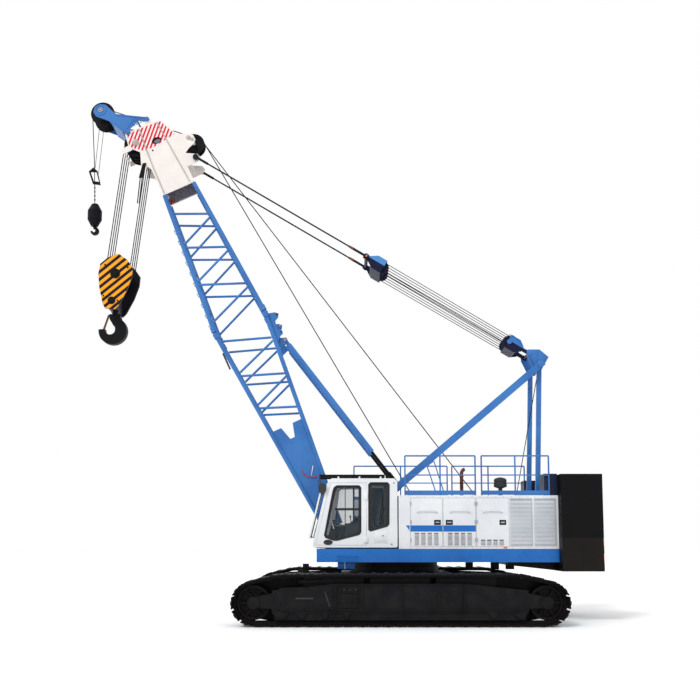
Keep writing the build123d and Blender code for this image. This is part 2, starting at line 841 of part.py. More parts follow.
def side_lacing(places, front, side):
    """Diagonals in one side face, from chord to chord and back, saddle-cut to them."""
    chords = [chord(places[0] - 400, places[-1] + 400, face, side, chord_radius + weld_gap) for face in (-1, 1)]
    if places[-1] < places[0]:
        chords = [chord(places[-1] - 30, places[0] + 300, face, side, chord_radius + weld_gap) for face in (-1, 1)]
    onward = 24 if places[-1] > places[0] else -24
    rods = []
    for start, end in zip(places, places[1:]):
        a = chord_point(start + onward, front, side)
        b = chord_point(end - onward, -front, side)
        rods.append(saddle_cut(rod(a, b, lacing_radius, (0, -1, 0)), chords))
        front = -front
    return rods


def face_chords(s, front):
    """Both chords of the front or rear face over one section, a hair wider than they are."""
    limits = (0, joint_s) if s < joint_s else (joint_s, lattice_end_s)
    pair = [chord(*limits, front, side, chord_radius + weld_gap) for side in (-1, 1)]
    if s < joint_s and front < 0:
        pair += [backstop_lug_plate(side) for side in (-1, 1)]
    return pair


def cross_lacing(places, front, squares):
    """Diagonals and square rods in the front or rear face of one section."""
    chords = face_chords(places[0], front)
    runs = [(s, s, 1) for s in squares]
    side = 1
    for start, end in zip(places, places[1:]):
        runs.append((start, end, side))
        side = -side
    rods = []
    for start, end, side in runs:
        bar = rod(chord_point(start, front, side), chord_point(end, front, -side), lacing_radius, (1, 0, 0))
        rods.append(boom_place * saddle_cut(bar, chords))
    return rods


top_places = zigzag(9410, 6160, 6)
base_places = zigzag(3290, 5700, 5)


def sleeved_chord(limits, sleeve, front, side):
    """A chord with the thicker sleeve of the joint between the sections."""
    return chord(*limits, front, side, chord_radius) + chord(*sleeve, front, side, chord_radius + 18)


def boom_top_side(side):
    """One side frame of the top section: two chords and the diagonals, each a solid of its own."""
    tubes = [sleeved_chord((joint_s + 70, lattice_end_s), (joint_s + 20, joint_s + 160), front, side)
             for front in (-1, 1)]
    return [boom_place * shape for shape in tubes + side_lacing(top_places, 1, side)]


def boom_base_side(side):
    """One side frame of the base section: the foot, two chords, the backstop's lug and the diagonals."""
    split = 3040.0
    foot = fused([foot_plate(side)] + [chord(200, split, front, side, chord_radius) for front in (-1, 1)])
    tubes = []
    for front in (-1, 1):
        tube = sleeved_chord((split + weld_gap, joint_s - 70), (joint_s - 160, joint_s - 20), front, side)
        tubes.append(tube + joint_pin(front, side))
    lug = backstop_lug_plate(side) - chord(split, joint_s, -1, side, chord_radius + weld_gap)
    return [boom_place * shape for shape in [foot, lug] + tubes + side_lacing(base_places, -1, side)]


def joint_pin(front, side):
    """The pin that couples the two sections at one chord."""
    n, y, _ = chord_point(joint_s, front, side)
    return post(n, y, 50, (joint_s - 60, joint_s + 8))


def lug_bridge(side):
    depth, width = boom_halves(backstop_lug_s)
    arm = sorted((side * (backstop_y + 34), side * (width - 10)))
    return span((-depth - 25, -depth + 25), arm, (backstop_lug_s - 150, backstop_lug_s + 150))


def backstop_lug_plate(side):
    """A plate that stands off the rear chord, beside the backstop's eye."""
    depth, width = boom_halves(backstop_lug_s)
    outline = [(-depth, backstop_lug_s - 150), (backstop_lug_n - 60, backstop_lug_s - 40),
               (backstop_lug_n - 60, backstop_lug_s + 40), (-depth, backstop_lug_s + 150)]
    y = sorted((side * (backstop_y + 34), side * (backstop_y + 60)))
    return plate(outline, y) + lug_bridge(side)


def foot_plate(side):
    """The plate between the chords above the foot, notched like a U at its upper edge."""
    depth, width = boom_halves(2950)
    foot_depth, foot_width = boom_halves(0)
    outline = [(-foot_depth + 30, 0), (foot_depth - 30, 0), (depth, 3000), (160, 3000), (60, 2650), (-60, 2650),
               (-160, 3000), (-depth, 3000)]
    thickness = 24
    blank = plate(outline, (-thickness / 2, thickness / 2))
    lean = math.degrees(math.atan2(width - foot_width, 2950))
    body = Location((0, side * foot_width, 0), (-side * lean, 0, 0)) * blank
    eye = cross_shaft(0, 0, foot_half_depth - 20, sorted((side * (foot_width - 50), side * (foot_width + 60))))
    bore = cross_shaft(0, 0, pin_radius + 1, (-900, 900))
    return (body + eye) - bore


def boom_cross(places, squares):
    """The rods of the front and the rear face of one section."""
    return cross_lacing(places, 1, squares) + cross_lacing(places, -1, squares)


head_outline = [
    (450, 9960), (450, 10740), (500, 10840), (660, 10930), (530, 11300), (660, 11440), (750, 11560), (700, 11960),
    (640, 12010), (560, 12000), (510, 11930), (110, 11925), (90, 12090), (10, 12130), (-60, 12090), (-90, 11920),
    (-300, 11900), (-515, 11440), (-520, 11370), (-800, 11250), (-930, 11150), (-940, 11020), (-850, 10930),
    (-700, 10880), (-540, 10780), (-830, 10620), (-860, 10500), (-760, 10430), (-450, 10420), (-450, 9960),
]


def boom_head():
    """Two cheek plates joined by flanges, with the wings of the guide sheaves, the pendant lugs and a rope guard."""
    y = (head_half_width - 30, head_half_width)
    cheek = plate(head_outline, y)
    for place, radius in (((head_sheave_n, head_sheave_s), 50), (jib_front_pin, 40), (jib_rear_pin, 40)):
        cheek -= pin_across(place, radius + 1, (0, 900))
    front = span((410, 450), (-y[0], y[0]), (9960, 10700))
    rear = span((-450, -410), (-y[0], y[0]), (9960, 10400))
    top = span((-280, 300), (-y[0], y[0]), (11850, 11890))
    shaft = cross_shaft(guide_sheave_n, guide_sheave_s, 40, (-y[0], y[0]))
    bracket = plate([(690, 11440), (960, 11430), (960, 11560), (690, 11590)], (y[1] - 15, y[1] + 20))
    bar = cross_shaft(925, 11495, 22, (-y[1] - 10, y[1] + 10))
    ties = [front, rear, top, shaft, bar]
    return boom_place * fused([cheek, other_side(cheek), bracket, other_side(bracket)] + ties)


def guide_sheaves():
    wheels = sheaves(guide_sheave_n, guide_sheave_s, 240, (-90, 90), 40)
    return [boom_place * wheel for wheel in wheels]


def head_sheaves():
    reach = head_half_width + 30
    shaft = cross_shaft(head_sheave_n, head_sheave_s, 50, (-reach, reach))
    wheels = sheaves(head_sheave_n, head_sheave_s, head_rope_radius, (-270, -90, 90, 270), 50, 35)
    return [boom_place * shape for shape in [shaft] + wheels]


def tip_jib():
    """Two tapering side plates out to the tip sheaves, a plate across their front and ties between them."""
    y = (head_half_width + 2, jib_half_width)
    outline = [(560, 11975), (690, 11930), (930, 12415), (1205, 12690), (1225, 12825), (1130, 12935), (970, 12950),
               (850, 12875), (700, 12520), (30, 12125), (20, 12010), (230, 12110)]
    cheek = plate(outline, y) + pin_across(jib_front_pin, 70, y) + pin_across(jib_rear_pin, 62, y)
    cheek -= cross_shaft(tip_sheave_n, tip_sheave_s, 42, (0, 900))
    web = plate([(725, 12025), (740, 12018), (920, 12385), (905, 12393)], (-y[0] - 5, y[0] + 5))
    shapes = [cheek, other_side(cheek), web]
    for place in (jib_front_pin, jib_rear_pin):
        pin = pin_across(place, 40, (head_half_width - 50, y[1] + 12))
        shapes += [pin, other_side(pin)]
    shapes += [cross_shaft(n, s, 24, (-y[0] - 5, y[0] + 5)) for n, s in ((260, 12170), (640, 12420), (560, 12060))]
    return boom_place * fused(shapes)


def tip_sheaves():
    reach = jib_half_width + 30
    shaft = cross_shaft(tip_sheave_n, tip_sheave_s, 40, (-reach, reach))
    wheels = sheaves(tip_sheave_n, tip_sheave_s, tip_rope_radius, (-200, 200), 40)
    return [boom_place * shape for shape in [shaft] + wheels]


# Hook blocks

def block_cheeks():
    """The two cheek plates and the crosshead that the hook turns in."""
    half = [(0, 540), (260, 400), (430, 210), (440, -50), (355, -430), (205, -840), (130, -940)]
    outline = half + [(-x, z) for x, z in reversed(half[1:])]
    cheek = plate(outline, (block_half_width - 60, block_half_width)) - cross_shaft(0, 0, 46, (0, 900))
    spacer = span((-120, 120), (-block_half_width + 50, block_half_width - 50), (-890, -640))
    spacer -= post(-30, 0, 77, (-900, -700))
    return [block_place * fused([cheek, other_side(cheek), spacer])]


def block_sheaves():
    reach = block_half_width + 25
    shaft = cross_shaft(0, 0, 45, (-reach, reach))
    wheels = sheaves(0, 0, head_rope_radius - 20, (-270, -90, 90, 270), 45)
    return [block_place * shape for shape in [shaft] + wheels]


def hook_shape():
    """A hook in the XZ plane: outer bowl less the throat, with a tapered tip and a shank."""
    outer = Pos(-50, 0) * Circle(370)
    throat = Pos(25, 20) * Circle(135)
    mouth = make_face(Polyline((60, 40), (520, -60), (520, 420), (-40, 420), (-100, 90), close=True))
    back = make_face(Polyline((-300, 0), (-190, 430), (90, 430), (80, 300), (-60, 120), close=True))
    return (outer - throat - mouth) + back - throat


def main_hook():
    bowl_z = -1430.0
    half = 90.0
    body = extrude(Plane.XZ * (Pos(0, bowl_z) * hook_shape()), amount=half, both=True)
    shank = post(-30, 0, 75, (bowl_z + 380, -705))
    return [block_place * fused([body, shank])]


tip_x, tip_z = boom_point(tip_sheave_n, tip_sheave_s)


def aux_line_x(z):
    """X of the auxiliary rope at z, which hangs a little out of the machine's plumb."""
    return tip_x + tip_rope_radius - aux_rope_lean * (tip_z - z)


def aux_ball():
    profile = make_face(Polyline((0, -300), (90, -300), (185, -120), (185, 120), (90, 300), (0, 300), close=True))
    ball = revolve(Plane.XZ * profile, axis=Axis.Z) - post(0, 0, 32, (-310, -200))
    return [Pos(aux_line_x(aux_ball_z), 0, aux_ball_z) * ball]


def aux_hook():
    small = extrude(Plane.XZ * scale(hook_shape(), 0.3), amount=30, both=True)
    shank = post(0, 0, 30, (60, 215))
    return [Pos(aux_line_x(aux_ball_z), 0, aux_ball_z - 436) * (small + shank)]


def limit_frame():
    """The slanting frame that hangs round the rope and trips the hoist limit switch."""
    z = 11620.0
    outline = make_face(Polyline((45, 270), (165, 160), (45, -190), (-165, -220), (-70, 170), close=True))
    hole = make_face(Polyline((115, 140), (20, -115), (-120, -130), (-40, 145), close=True))
    ring = extrude(Plane.XZ * (outline - hole), amount=15, both=True)
    return [Pos(aux_line_x(z), 0, z) * ring]


def save_undercarriage():
    save("carbody", carbody())
    save("slewing_ring", slewing_ring())
    for side, name in ((1, "left"), (-1, "right")):
        save(f"track_{name}", track_loop(side))
        save(f"track_frame_{name}", track_frame(side))
    save("track_rollers", *bottom_rollers(1), *bottom_rollers(-1))
    save("drive_wheels", track_wheel(1, -1), track_wheel(-1, -1))
    save("idler_wheels", track_wheel(1, 1), track_wheel(-1, 1))


def save_upperworks():
    save("turntable", *turntable())
    save("deck_beams", *deck_beams())
    save("cab_shell", cab_shell())
    save("cab_glass", *cab_glass())
    save("cab_door", cab_door())
    save("cab_door_glass", cab_door_glass())
    save("cab_seat", cab_seat())
    save("cab_console", *cab_console())
    save("cab_guard", cab_guard())
    save("house_left", house_shell(1, house_front, left_doors.values()))
    save("house_right", house_shell(-1, right_house_front, right_doors.values()))
    for side, doors in ((1, left_doors), (-1, right_doors)):
        for name, limits in doors.items():
            save(name, house_door(side, limits))
    save("louvres", louvre_panel(1, (-3250, -2720)), louvre_panel(1, (-3820, -3300)),
         louvre_panel(-1, (-3820, -2500)), louvre_panel(-1, (-2400, -1100)))
    save("engine", engine())
    save("winches", winch(-700, 240, 900), winch(-2500, 240, 900))
    save("railings", railing(-1900, -200, 1), railing(-3680, -2050, 1),
         railing(-1550, 1020, -1), railing(-3680, -1680, -1))
    save("exhaust", exhaust())
    save("air_cleaner", air_cleaner())
    save("counterweight_base", *weight_base())
    save("counterweight_slabs", *weight_slabs())
    save("counterweight_guides", *weight_guides())


def save_gantry():
    save("gantry_struts", gantry_struts())
    save("gantry_links", *gantry_links())
    save("gantry_block", *gantry_block())
    save("floating_block", *floating_block())
    save("pendants", *pendants())
    save("backstop_rods", *backstop_rods())
    save("backstop_tubes", *backstop_tubes())


def save_boom():
    for section, side_frame in (("base", boom_base_side(1)), ("top", boom_top_side(1))):
        save(f"boom_{section}_left", *side_frame)
        save(f"boom_{section}_right", *[other_side(shape) for shape in side_frame])
    save("boom_base_cross", *boom_cross(base_places, (3200, 5740)))
    save("boom_top_cross", *boom_cross(top_places, (6120, 9860)))
    save("boom_head", boom_head())
    save("guide_sheaves", *guide_sheaves())
    save("head_sheaves", *head_sheaves())
    save("tip_jib", tip_jib())
    save("tip_sheaves", *tip_sheaves())
    save("limit_frame", *limit_frame())


def save_hooks():
    save("hook_block", *block_cheeks())
    save("hook_block_sheaves", *block_sheaves())
    save("main_hook", *main_hook())
    save("aux_ball", *aux_ball())
    save("aux_hook", *aux_hook())


os.makedirs("parts", exist_ok=True)
save_undercarriage()
save_upperworks()
save_gantry()
save_boom()
save_hooks()
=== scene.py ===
# %% [markdown]
# # A crawler crane
# The CAD model gives every steel part its real size and place. This lesson dresses it: it hangs the ropes, adds
# the small fittings that the CAD model leaves out, and gives each part its paint. The imported model is loaded
# first.

# %% Load the imported crane
import json
import math

import bmesh
import bpy
from mathutils import Matrix, Vector


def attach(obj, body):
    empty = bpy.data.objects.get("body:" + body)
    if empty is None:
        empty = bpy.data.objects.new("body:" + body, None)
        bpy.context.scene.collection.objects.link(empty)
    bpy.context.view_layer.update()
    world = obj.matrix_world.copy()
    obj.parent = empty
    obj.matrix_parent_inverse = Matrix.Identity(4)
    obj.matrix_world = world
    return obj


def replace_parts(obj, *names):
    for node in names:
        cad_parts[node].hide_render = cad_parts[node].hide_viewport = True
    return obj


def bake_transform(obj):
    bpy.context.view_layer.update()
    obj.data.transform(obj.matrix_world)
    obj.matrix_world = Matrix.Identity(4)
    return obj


def in_scene(name, data):
    """A new object with this data, linked to the scene."""
    made = bpy.data.objects.new(name, data)
    bpy.context.scene.collection.objects.link(made)
    return made


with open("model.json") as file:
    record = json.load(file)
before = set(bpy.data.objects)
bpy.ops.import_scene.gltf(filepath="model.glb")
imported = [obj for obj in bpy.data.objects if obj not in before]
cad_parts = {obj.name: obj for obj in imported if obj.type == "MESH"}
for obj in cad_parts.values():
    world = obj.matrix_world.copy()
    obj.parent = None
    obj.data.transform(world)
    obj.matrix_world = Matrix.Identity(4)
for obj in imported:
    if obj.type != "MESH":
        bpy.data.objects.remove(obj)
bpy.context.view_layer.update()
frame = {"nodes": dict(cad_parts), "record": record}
nodes = frame["nodes"]

# %% [markdown]
# The photograph was taken from the machine's left, from about 20 m away and a little above the
# tracks, with the lens tipped up by 6 degrees. A vertical shift keeps the tracks low in the frame
# without tipping the lens further, which would make the boom lean.

# %% Camera
photo_width, focal_length = 700, 884  # both in pixels
lens = bpy.data.cameras.new("crane_camera")
lens.sensor_width = 36
lens.lens = lens.sensor_width * focal_length / photo_width
lens.shift_y = 0.14
lens.clip_end = 300
camera = in_scene("crane_camera", lens)
camera.location = (1.13, 22.85, 1.908)
camera.rotation_euler = (math.radians(96), 0, math.radians(180))
bpy.context.scene.camera = camera
bpy.context.scene.view_settings.view_transform = "Standard"
print("lens", round(lens.lens, 2), "mm")

# %% [markdown]
# Studio light for a dark machine on white: a bright even surround fills the shadows, and one broad
# lamp from the upper left of the picture gives the lattice its lit and shaded sides.

# %% Light
world = bpy.data.worlds.new("studio")
bpy.context.scene.world = world
world.use_nodes = True
surround = world.node_tree.nodes["Background"]
surround.inputs["Color"].default_value = (1.0, 1.0, 1.0, 1)
surround.inputs["Strength"].default_value = 1.0

sun = bpy.data.lights.new("key_light", "SUN")
sun.energy = 1.25
sun.angle = math.radians(14)
key_light = in_scene("key_light", sun)
key_light.rotation_euler = Vector((-0.45, -0.62, -0.8)).to_track_quat("-Z", "Y").to_euler()

# %% [markdown]
# Each leaning part of the crane has its own frame of reference, the same one that the CAD model
# used. A point is written along the part, and a matrix turns it into the machine's frame.

# %% Frames of reference
def leaning(x, z, degrees):
    """A frame at x and z, turned about the machine's cross axis."""
    return Matrix.Translation((x, 0, z)) @ Matrix.Rotation(math.radians(degrees), 4, "Y")


def between(start, end):
    """A frame at start whose X axis runs to end, both (x, z), and the length between them."""
    slope = math.degrees(math.atan2(end[1] - start[1], end[0] - start[0]))
    return leaning(start[0], start[1], -slope), math.dist(start, end)


boom_foot, boom_angle = (1.48, 2.1), 65.3
boom = leaning(*boom_foot, 90 - boom_angle)
block = leaning(7.24, 8.83, -7)


# On the boom, each place is how far it lies in front of the centre line and how far from the foot.
head_shaft, tip_shaft, guide_shaft, pendant_pin = (0.54, 11.59), (1.025, 12.795), (-0.86, 11.05), (-0.75, 10.53)


def on_boom(n, s):
    """The point n in front of the boom's centre line and s from its foot."""
    return boom @ Vector((n, 0, s))


gantry_head, pendant_end = (-3.52, 6.74), on_boom(*pendant_pin)
luff, luff_length = between(gantry_head, (pendant_end.x, pendant_end.z))
print("luffing line", round(luff_length, 2), "m")

# %% [markdown]
# Most fittings are boxes, bars, flat plates and turned parts, so one small class collects such
# shapes in a bmesh. Each method starts from a bmesh operator and shapes it with others. `made`
# closes the piece: it merges doubles, turns the faces outwards, gives the piece its material, and
# makes it ride on a body of the crane.

# %% A class for pieces
class Piece:
    """Shapes collected in one bmesh, then made into a piece that rides on a body."""

    def __init__(self, place=None):
        self.bm = bmesh.new()
        self.place = place or Matrix.Identity(4)

    def box(self, low, high, bevel=0.0):
        """A box between two corners, its edges rounded by bevel."""
        low, high = Vector(low), Vector(high)
        size = high - low
        shape = Matrix.Translation((low + high) / 2) @ Matrix.Diagonal((*size, 1))
        found = bmesh.ops.create_cube(self.bm, size=1, matrix=self.place @ shape)["verts"]
        return self.rounded(found, bevel)

    def boxes(self, bevel, *pairs):
        """Boxes with one bevel, each given by its two corners."""
        for low, high in pairs:
            self.box(low, high, bevel)
        return self

    def rounded(self, verts, bevel, segments=2):
        if bevel:
            edges = list({edge for vert in verts for edge in vert.link_edges})
            bmesh.ops.bevel(self.bm, geom=edges, offset=bevel, offset_type="OFFSET", segments=segments,
                            profile=0.5, affect="EDGES", material=-1)
        return self

    def bar(self, start, end, radius, sides=12, end_radius=None):
        """A round bar, or a cone where the end has a radius of its own."""
        start, end = Vector(start), Vector(end)
        along = end - start
        turn = along.to_track_quat("Z", "Y").to_matrix().to_4x4()
        shape = Matrix.Translation((start + end) / 2) @ turn
        bmesh.ops.create_cone(self.bm, cap_ends=True, segments=sides, radius1=radius,
                              radius2=radius if end_radius is None else end_radius,
                              depth=along.length, matrix=self.place @ shape)
        return self

    def bars(self, radius, sides, *pairs):
        """Bars of one radius, each given by its two ends."""
        for start, end in pairs:
            self.bar(start, end, radius, sides)
        return self

    def plate(self, outline, y, bevel=0.0):
        """A flat plate drawn in X and Z, from y[0] to y[1]."""
        low, high = min(y), max(y)
        verts = [self.bm.verts.new((x, low, z)) for x, z in outline]
        face = self.bm.faces.new(verts)
        grown = bmesh.ops.extrude_face_region(self.bm, geom=[face])["geom"]
        top = [item for item in grown if isinstance(item, bmesh.types.BMVert)]
        bmesh.ops.translate(self.bm, verts=top, vec=(0, high - low, 0))
        bmesh.ops.transform(self.bm, matrix=self.place, verts=verts + top)
        return self.rounded(verts + top, bevel, 1)

    def turned(self, profile, centre, axis=(0, 1, 0), steps=32):
        """A profile of (radius, height) spun about an axis through centre."""
        verts = [self.bm.verts.new((radius, 0, height)) for radius, height in profile]
        edges = [self.bm.edges.new(pair) for pair in zip(verts, verts[1:])]
        spun = bmesh.ops.spin(self.bm, geom=verts + edges, cent=(0, 0, 0), axis=(0, 0, 1), dvec=(0, 0, 0),
                              angle=math.tau, steps=steps, use_merge=True, use_duplicate=False)
        whole = set(verts) | {item for item in spun["geom_last"] if isinstance(item, bmesh.types.BMVert)}
        reach = set(whole)
        while reach:
            near = {edge.other_vert(vert) for vert in reach for edge in vert.link_edges} - whole
            whole |= near
            reach = near
        turn = Vector(axis).to_track_quat("Z", "Y").to_matrix().to_4x4()
        shape = self.place @ Matrix.Translation(centre) @ turn
        bmesh.ops.transform(self.bm, matrix=shape, verts=list(whole))
        return self

    def pipe(self, points, radius, sides=10):
        """A round pipe or rope through points, ring by ring."""
        points = [self.place @ Vector(point) for point in points]
        ways = [(after - before).normalized() for before, after in zip(points, points[1:])]
        ring = bmesh.ops.create_circle(self.bm, cap_ends=True, segments=sides, radius=radius)["verts"]
        here = Matrix.Translation(points[0]) @ ways[0].to_track_quat("Z", "Y").to_matrix().to_4x4()
        bmesh.ops.transform(self.bm, matrix=here, verts=ring)
        edges = list({edge for vert in ring for edge in vert.link_edges})
        for index, point in enumerate(points[1:]):
            grown = bmesh.ops.extrude_edge_only(self.bm, edges=edges)["geom"]
            verts = [item for item in grown if isinstance(item, bmesh.types.BMVert)]
            edges = [item for item in grown if isinstance(item, bmesh.types.BMEdge)]
            edges = [edge for edge in edges if edge.verts[0] in verts and edge.verts[1] in verts]
            way = ways[index] + ways[min(index + 1, len(ways) - 1)]
            turn = here.to_3x3() @ Vector((0, 0, 1))
            there = Matrix.Translation(point) @ (
                turn.rotation_difference(way).to_matrix().to_4x4() @ here.to_3x3().to_4x4())
            bmesh.ops.transform(self.bm, matrix=there @ here.inverted(), verts=verts)
            here = there
        bmesh.ops.contextual_create(self.bm, geom=edges)
        return self

    def mirrored(self):
        """A copy of everything so far on the machine's other side."""
        copy = bmesh.ops.duplicate(self.bm, geom=self.bm.verts[:] + self.bm.edges[:] + self.bm.faces[:])
        verts = [item for item in copy["geom"] if isinstance(item, bmesh.types.BMVert)]
        bmesh.ops.scale(self.bm, vec=(1, -1, 1), verts=verts)
        return self

    def made(self, name, body, finish, slot=None, smooth=35):
        """Closes the piece and lets it ride on a body. Its slot argument is not used."""
        bmesh.ops.remove_doubles(self.bm, verts=self.bm.verts[:], dist=1e-5)
        bmesh.ops.recalc_face_normals(self.bm, faces=self.bm.faces[:])
        mesh = bpy.data.meshes.new(name)
        self.bm.to_mesh(mesh)
        self.bm.free()
        piece = in_scene(name, mesh)
        mesh.materials.append(finish)
        mesh.shade_smooth()
        mesh.set_sharp_from_angle(angle=math.radians(smooth))
        if body:
            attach(piece, body)
        return piece


def oval(x, z, wide, high):
    """An oval's outline in X and Z, from its middle and its two half widths."""
    turns = [step * math.tau / 24 for step in range(24)]
    return [(x + wide * math.cos(turn), z + high * math.sin(turn)) for turn in turns]


# %% [markdown]
# Shader maths reads best as plain expressions. `Value` wraps a socket, and each operator on it adds
# one Math node. `Finish` builds a material: any other node comes from its `node` method, and what
# varies over the surface goes only into colour, roughness, metallic or bump.

# %% A class for finishes
class Value:
    """A shader socket that can be used in Python arithmetic."""

    def __init__(self, finish, socket):
        self.finish = finish
        self.socket = socket

    def math(self, operation, *others):
        return self.finish.node("ShaderNodeMath", {"operation": operation}, self, *others)

    def __add__(self, other):
        return self.math("ADD", other)

    def __sub__(self, other):
        return self.math("SUBTRACT", other)

    def __rsub__(self, other):
        return self.finish.node("ShaderNodeMath", {"operation": "SUBTRACT"}, other, self)

    def __mul__(self, other):
        return self.math("MULTIPLY", other)

    __radd__, __rmul__ = __add__, __mul__

    def __gt__(self, other):
        return self.math("GREATER_THAN", other)

    def __lt__(self, other):
        return self.math("LESS_THAN", other)

    def fraction(self):
        return self.math("FRACT")

    def ramp(self, low, high):
        """0 below low, 1 above high, smooth between."""
        return self.finish.node("ShaderNodeMapRange", {"interpolation_type": "SMOOTHSTEP"}, self, low, high)


class Finish:
    """A material under construction around one Principled shader."""

    def __init__(self, name):
        self.material = bpy.data.materials.new(name)
        self.material.use_nodes = True
        self.tree = self.material.node_tree
        self.shader = self.tree.nodes["Principled BSDF"]
        self.place = self.node("ShaderNodeTexCoord", {}, out="Object")

    def node(self, kind, settings, *values, out=0, **named):
        made = self.tree.nodes.new(kind)
        for key, value in settings.items():
            setattr(made, key, value)
        pairs = list(zip(made.inputs, values)) + [(made.inputs[key], value) for key, value in named.items()]
        for socket, value in pairs:
            self.join(socket, value)
        return Value(self, made.outputs[out])

    def join(self, socket, value):
        if isinstance(value, Value):
            self.tree.links.new(value.socket, socket)
        else:
            socket.default_value = value

    def noise(self, size, detail, roughness=0.55, stretch=(1, 1, 1)):
        """Cloudy noise whose features are about size metres wide."""
        place = self.place
        if stretch != (1, 1, 1):
            place = self.node("ShaderNodeMapping", {}, self.place, Scale=stretch)
        return self.node("ShaderNodeTexNoise", {}, out="Fac", Vector=place, Scale=1 / size,
                         Detail=detail, Roughness=roughness)

    def along(self, direction, origin=(0, 0, 0)):
        """The distance in metres from origin along a direction."""
        way = Vector(direction).normalized()
        offset = self.node("ShaderNodeVectorMath", {"operation": "SUBTRACT"}, self.place, tuple(origin))
        return self.node("ShaderNodeVectorMath", {"operation": "DOT_PRODUCT"}, offset, tuple(way), out="Value")

    def mix(self, factor, first, second):
        """One colour where factor is 0, the other where it is 1."""
        made = self.tree.nodes.new("ShaderNodeMix")
        made.data_type = "RGBA"
        for socket, value in zip((made.inputs[0], made.inputs[6], made.inputs[7]), (factor, first, second)):
            self.join(socket, value)
        return Value(self, made.outputs[2])

    def bump(self, height, distance):
        return self.node("ShaderNodeBump", {}, Height=height, Distance=distance, Strength=1.0)

    def done(self, **sockets):
        """Sets sockets of the shader by name, with _ for a space, and returns the material."""
        for key, value in sockets.items():
            self.join(self.shader.inputs[key.replace("_", " ")], value)
        return self.material


def colour(red, green, blue):
    """A colour as read off a screen, from 0 to 255, made linear for the shader."""
    def linear(level):
        level = level / 255
        return level / 12.92 if level <= 0.04045 else ((level + 0.055) / 1.055) ** 2.4

    return linear(red), linear(green), linear(blue), 1.0


# %% [markdown]
# The blue of the boom and the deck is brushed-on enamel: even from afar, but up close it has faint
# clouds, a slight orange peel, rain streaks that run down, and a few chips that show the primer.
# One function makes such a paint in any colour, so blue, white, grey and black steel belong together.

# %% Enamel paint
def enamel(name, paint, shade, chip=(60, 54, 50), gloss=0.34, dust=0.12, shine=0.3, outside=None):
    """Paint with clouds between two colours, streaks, chips and dust near the ground.

    outside holds a distance from the middle plane, the paint beyond it, and a frame above whose
    middle line that paint begins."""
    made = Finish(name)
    clouds = made.noise(0.9, 5).ramp(0.35, 0.7)
    streaks = made.noise(0.16, 3, stretch=(1, 1, 0.06)).ramp(0.52, 0.8)
    peel = made.noise(0.012, 2)
    flakes = made.noise(0.05, 8, 0.7).ramp(0.77, 0.79)
    height = made.along((0, 0, 1))
    low = (1 - height.ramp(0.3, 2.2)) * made.noise(0.3, 6).ramp(0.35, 0.75)
    base = made.mix(clouds * 0.7, colour(*paint), colour(*shade))
    base = made.mix(streaks * 0.25, base, colour(*shade))
    # Painted light: with outside given, only the upper outer faces get the lit second colour, and the rest
    # keeps the darker paint as painted shade.
    if outside:
        distance, second, place = outside
        beyond = made.along((0, 1, 0)).math("ABSOLUTE") > distance
        upward = place @ Vector((0, 0, 1)) - place.translation
        upper = made.along(upward, place.translation) > 0.03
        base = made.mix(beyond * upper, base, colour(*second))
    base = made.mix(low * dust, base, colour(150, 140, 125))
    base = made.mix(flakes * 0.8, base, colour(*chip))
    rough = gloss + clouds * 0.08 + streaks * 0.1 + low * 0.3 + flakes * 0.3
    surface = peel * 0.5 - flakes * 1.2
    return made.done(Base_Color=base, Roughness=rough, Normal=made.bump(surface, 0.0012),
                     Coat_Weight=0.25 * shine, Coat_Roughness=0.12, Specular_IOR_Level=shine)


blue = enamel("boom_enamel", (52, 112, 178), (36, 90, 156))
deck_blue = enamel("deck_enamel", (8, 106, 190), (6, 90, 172))
white = enamel("white_enamel", (224, 226, 228), (206, 210, 215), chip=(120, 112, 104))
ivory = enamel("head_enamel", (228, 221, 215), (212, 203, 198), chip=(120, 104, 96))
seam = enamel("seam_enamel", (176, 166, 162), (150, 142, 140))
# Painted shade: this grey stands for shade in the door vents, in the head's lightening hole and on the far
# cheek's inner face.
shade_grey = enamel("shade_grey_enamel", (112, 110, 120), (88, 86, 98))
grey = enamel("grey_enamel", (176, 182, 190), (152, 159, 169))
black = enamel("black_enamel", (15, 16, 20), (8, 9, 13), chip=(40, 34, 30), gloss=0.46, dust=0.03, shine=0.1)
navy = enamel("navy_enamel", (24, 32, 66), (15, 20, 44), gloss=0.42, shine=0.2)
# Painted shade: the floating and gantry blocks are navy for their shaded undersides and lower faces, and only
# the upper band of each outer cheek shows the lit blue.
block_shaded_blue = enamel("block_enamel_painted_shade", (13, 18, 52), (9, 12, 34), gloss=0.42, shine=0.15,
                    outside=(0.434, (72, 130, 190), luff))
gantry_shaded_blue = enamel("gantry_enamel_painted_shade", (13, 18, 52), (9, 12, 34), gloss=0.42, shine=0.15,
                     outside=(0.318, (52, 112, 178), luff))
print("enamels made")

# %% [markdown]
# Cast and forged parts are not painted so finely. The tracks are bare manganese steel with soil in
# the corners and bright rubbed tops, and the weights are rough castings under thick black paint.

# %% Cast steel and iron
def casting(name, metal, dirt, rub, metallic=0.6, rough=0.55, soil=0.8, shine=0.4):
    """Rough cast metal with soil in its hollows and rubbed patches."""
    made = Finish(name)
    clouds = made.noise(0.25, 8, 0.65)
    pits = made.noise(0.02, 4, 0.6)
    soiled = made.noise(0.12, 8, 0.7).ramp(0.46, 0.62) * soil
    rubbed = made.noise(0.07, 5).ramp(0.62, 0.74)
    base = made.mix(clouds, colour(*metal), colour(*dirt))
    base = made.mix(soiled, base, colour(*dirt))
    base = made.mix(rubbed * 0.6, base, colour(*rub))
    return made.done(Base_Color=base, Roughness=rough + soiled * 0.3 - rubbed * 0.2,
                     Metallic=metallic - soiled * metallic, Normal=made.bump(pits + clouds * 0.6, 0.003),
                     Specular_IOR_Level=shine)


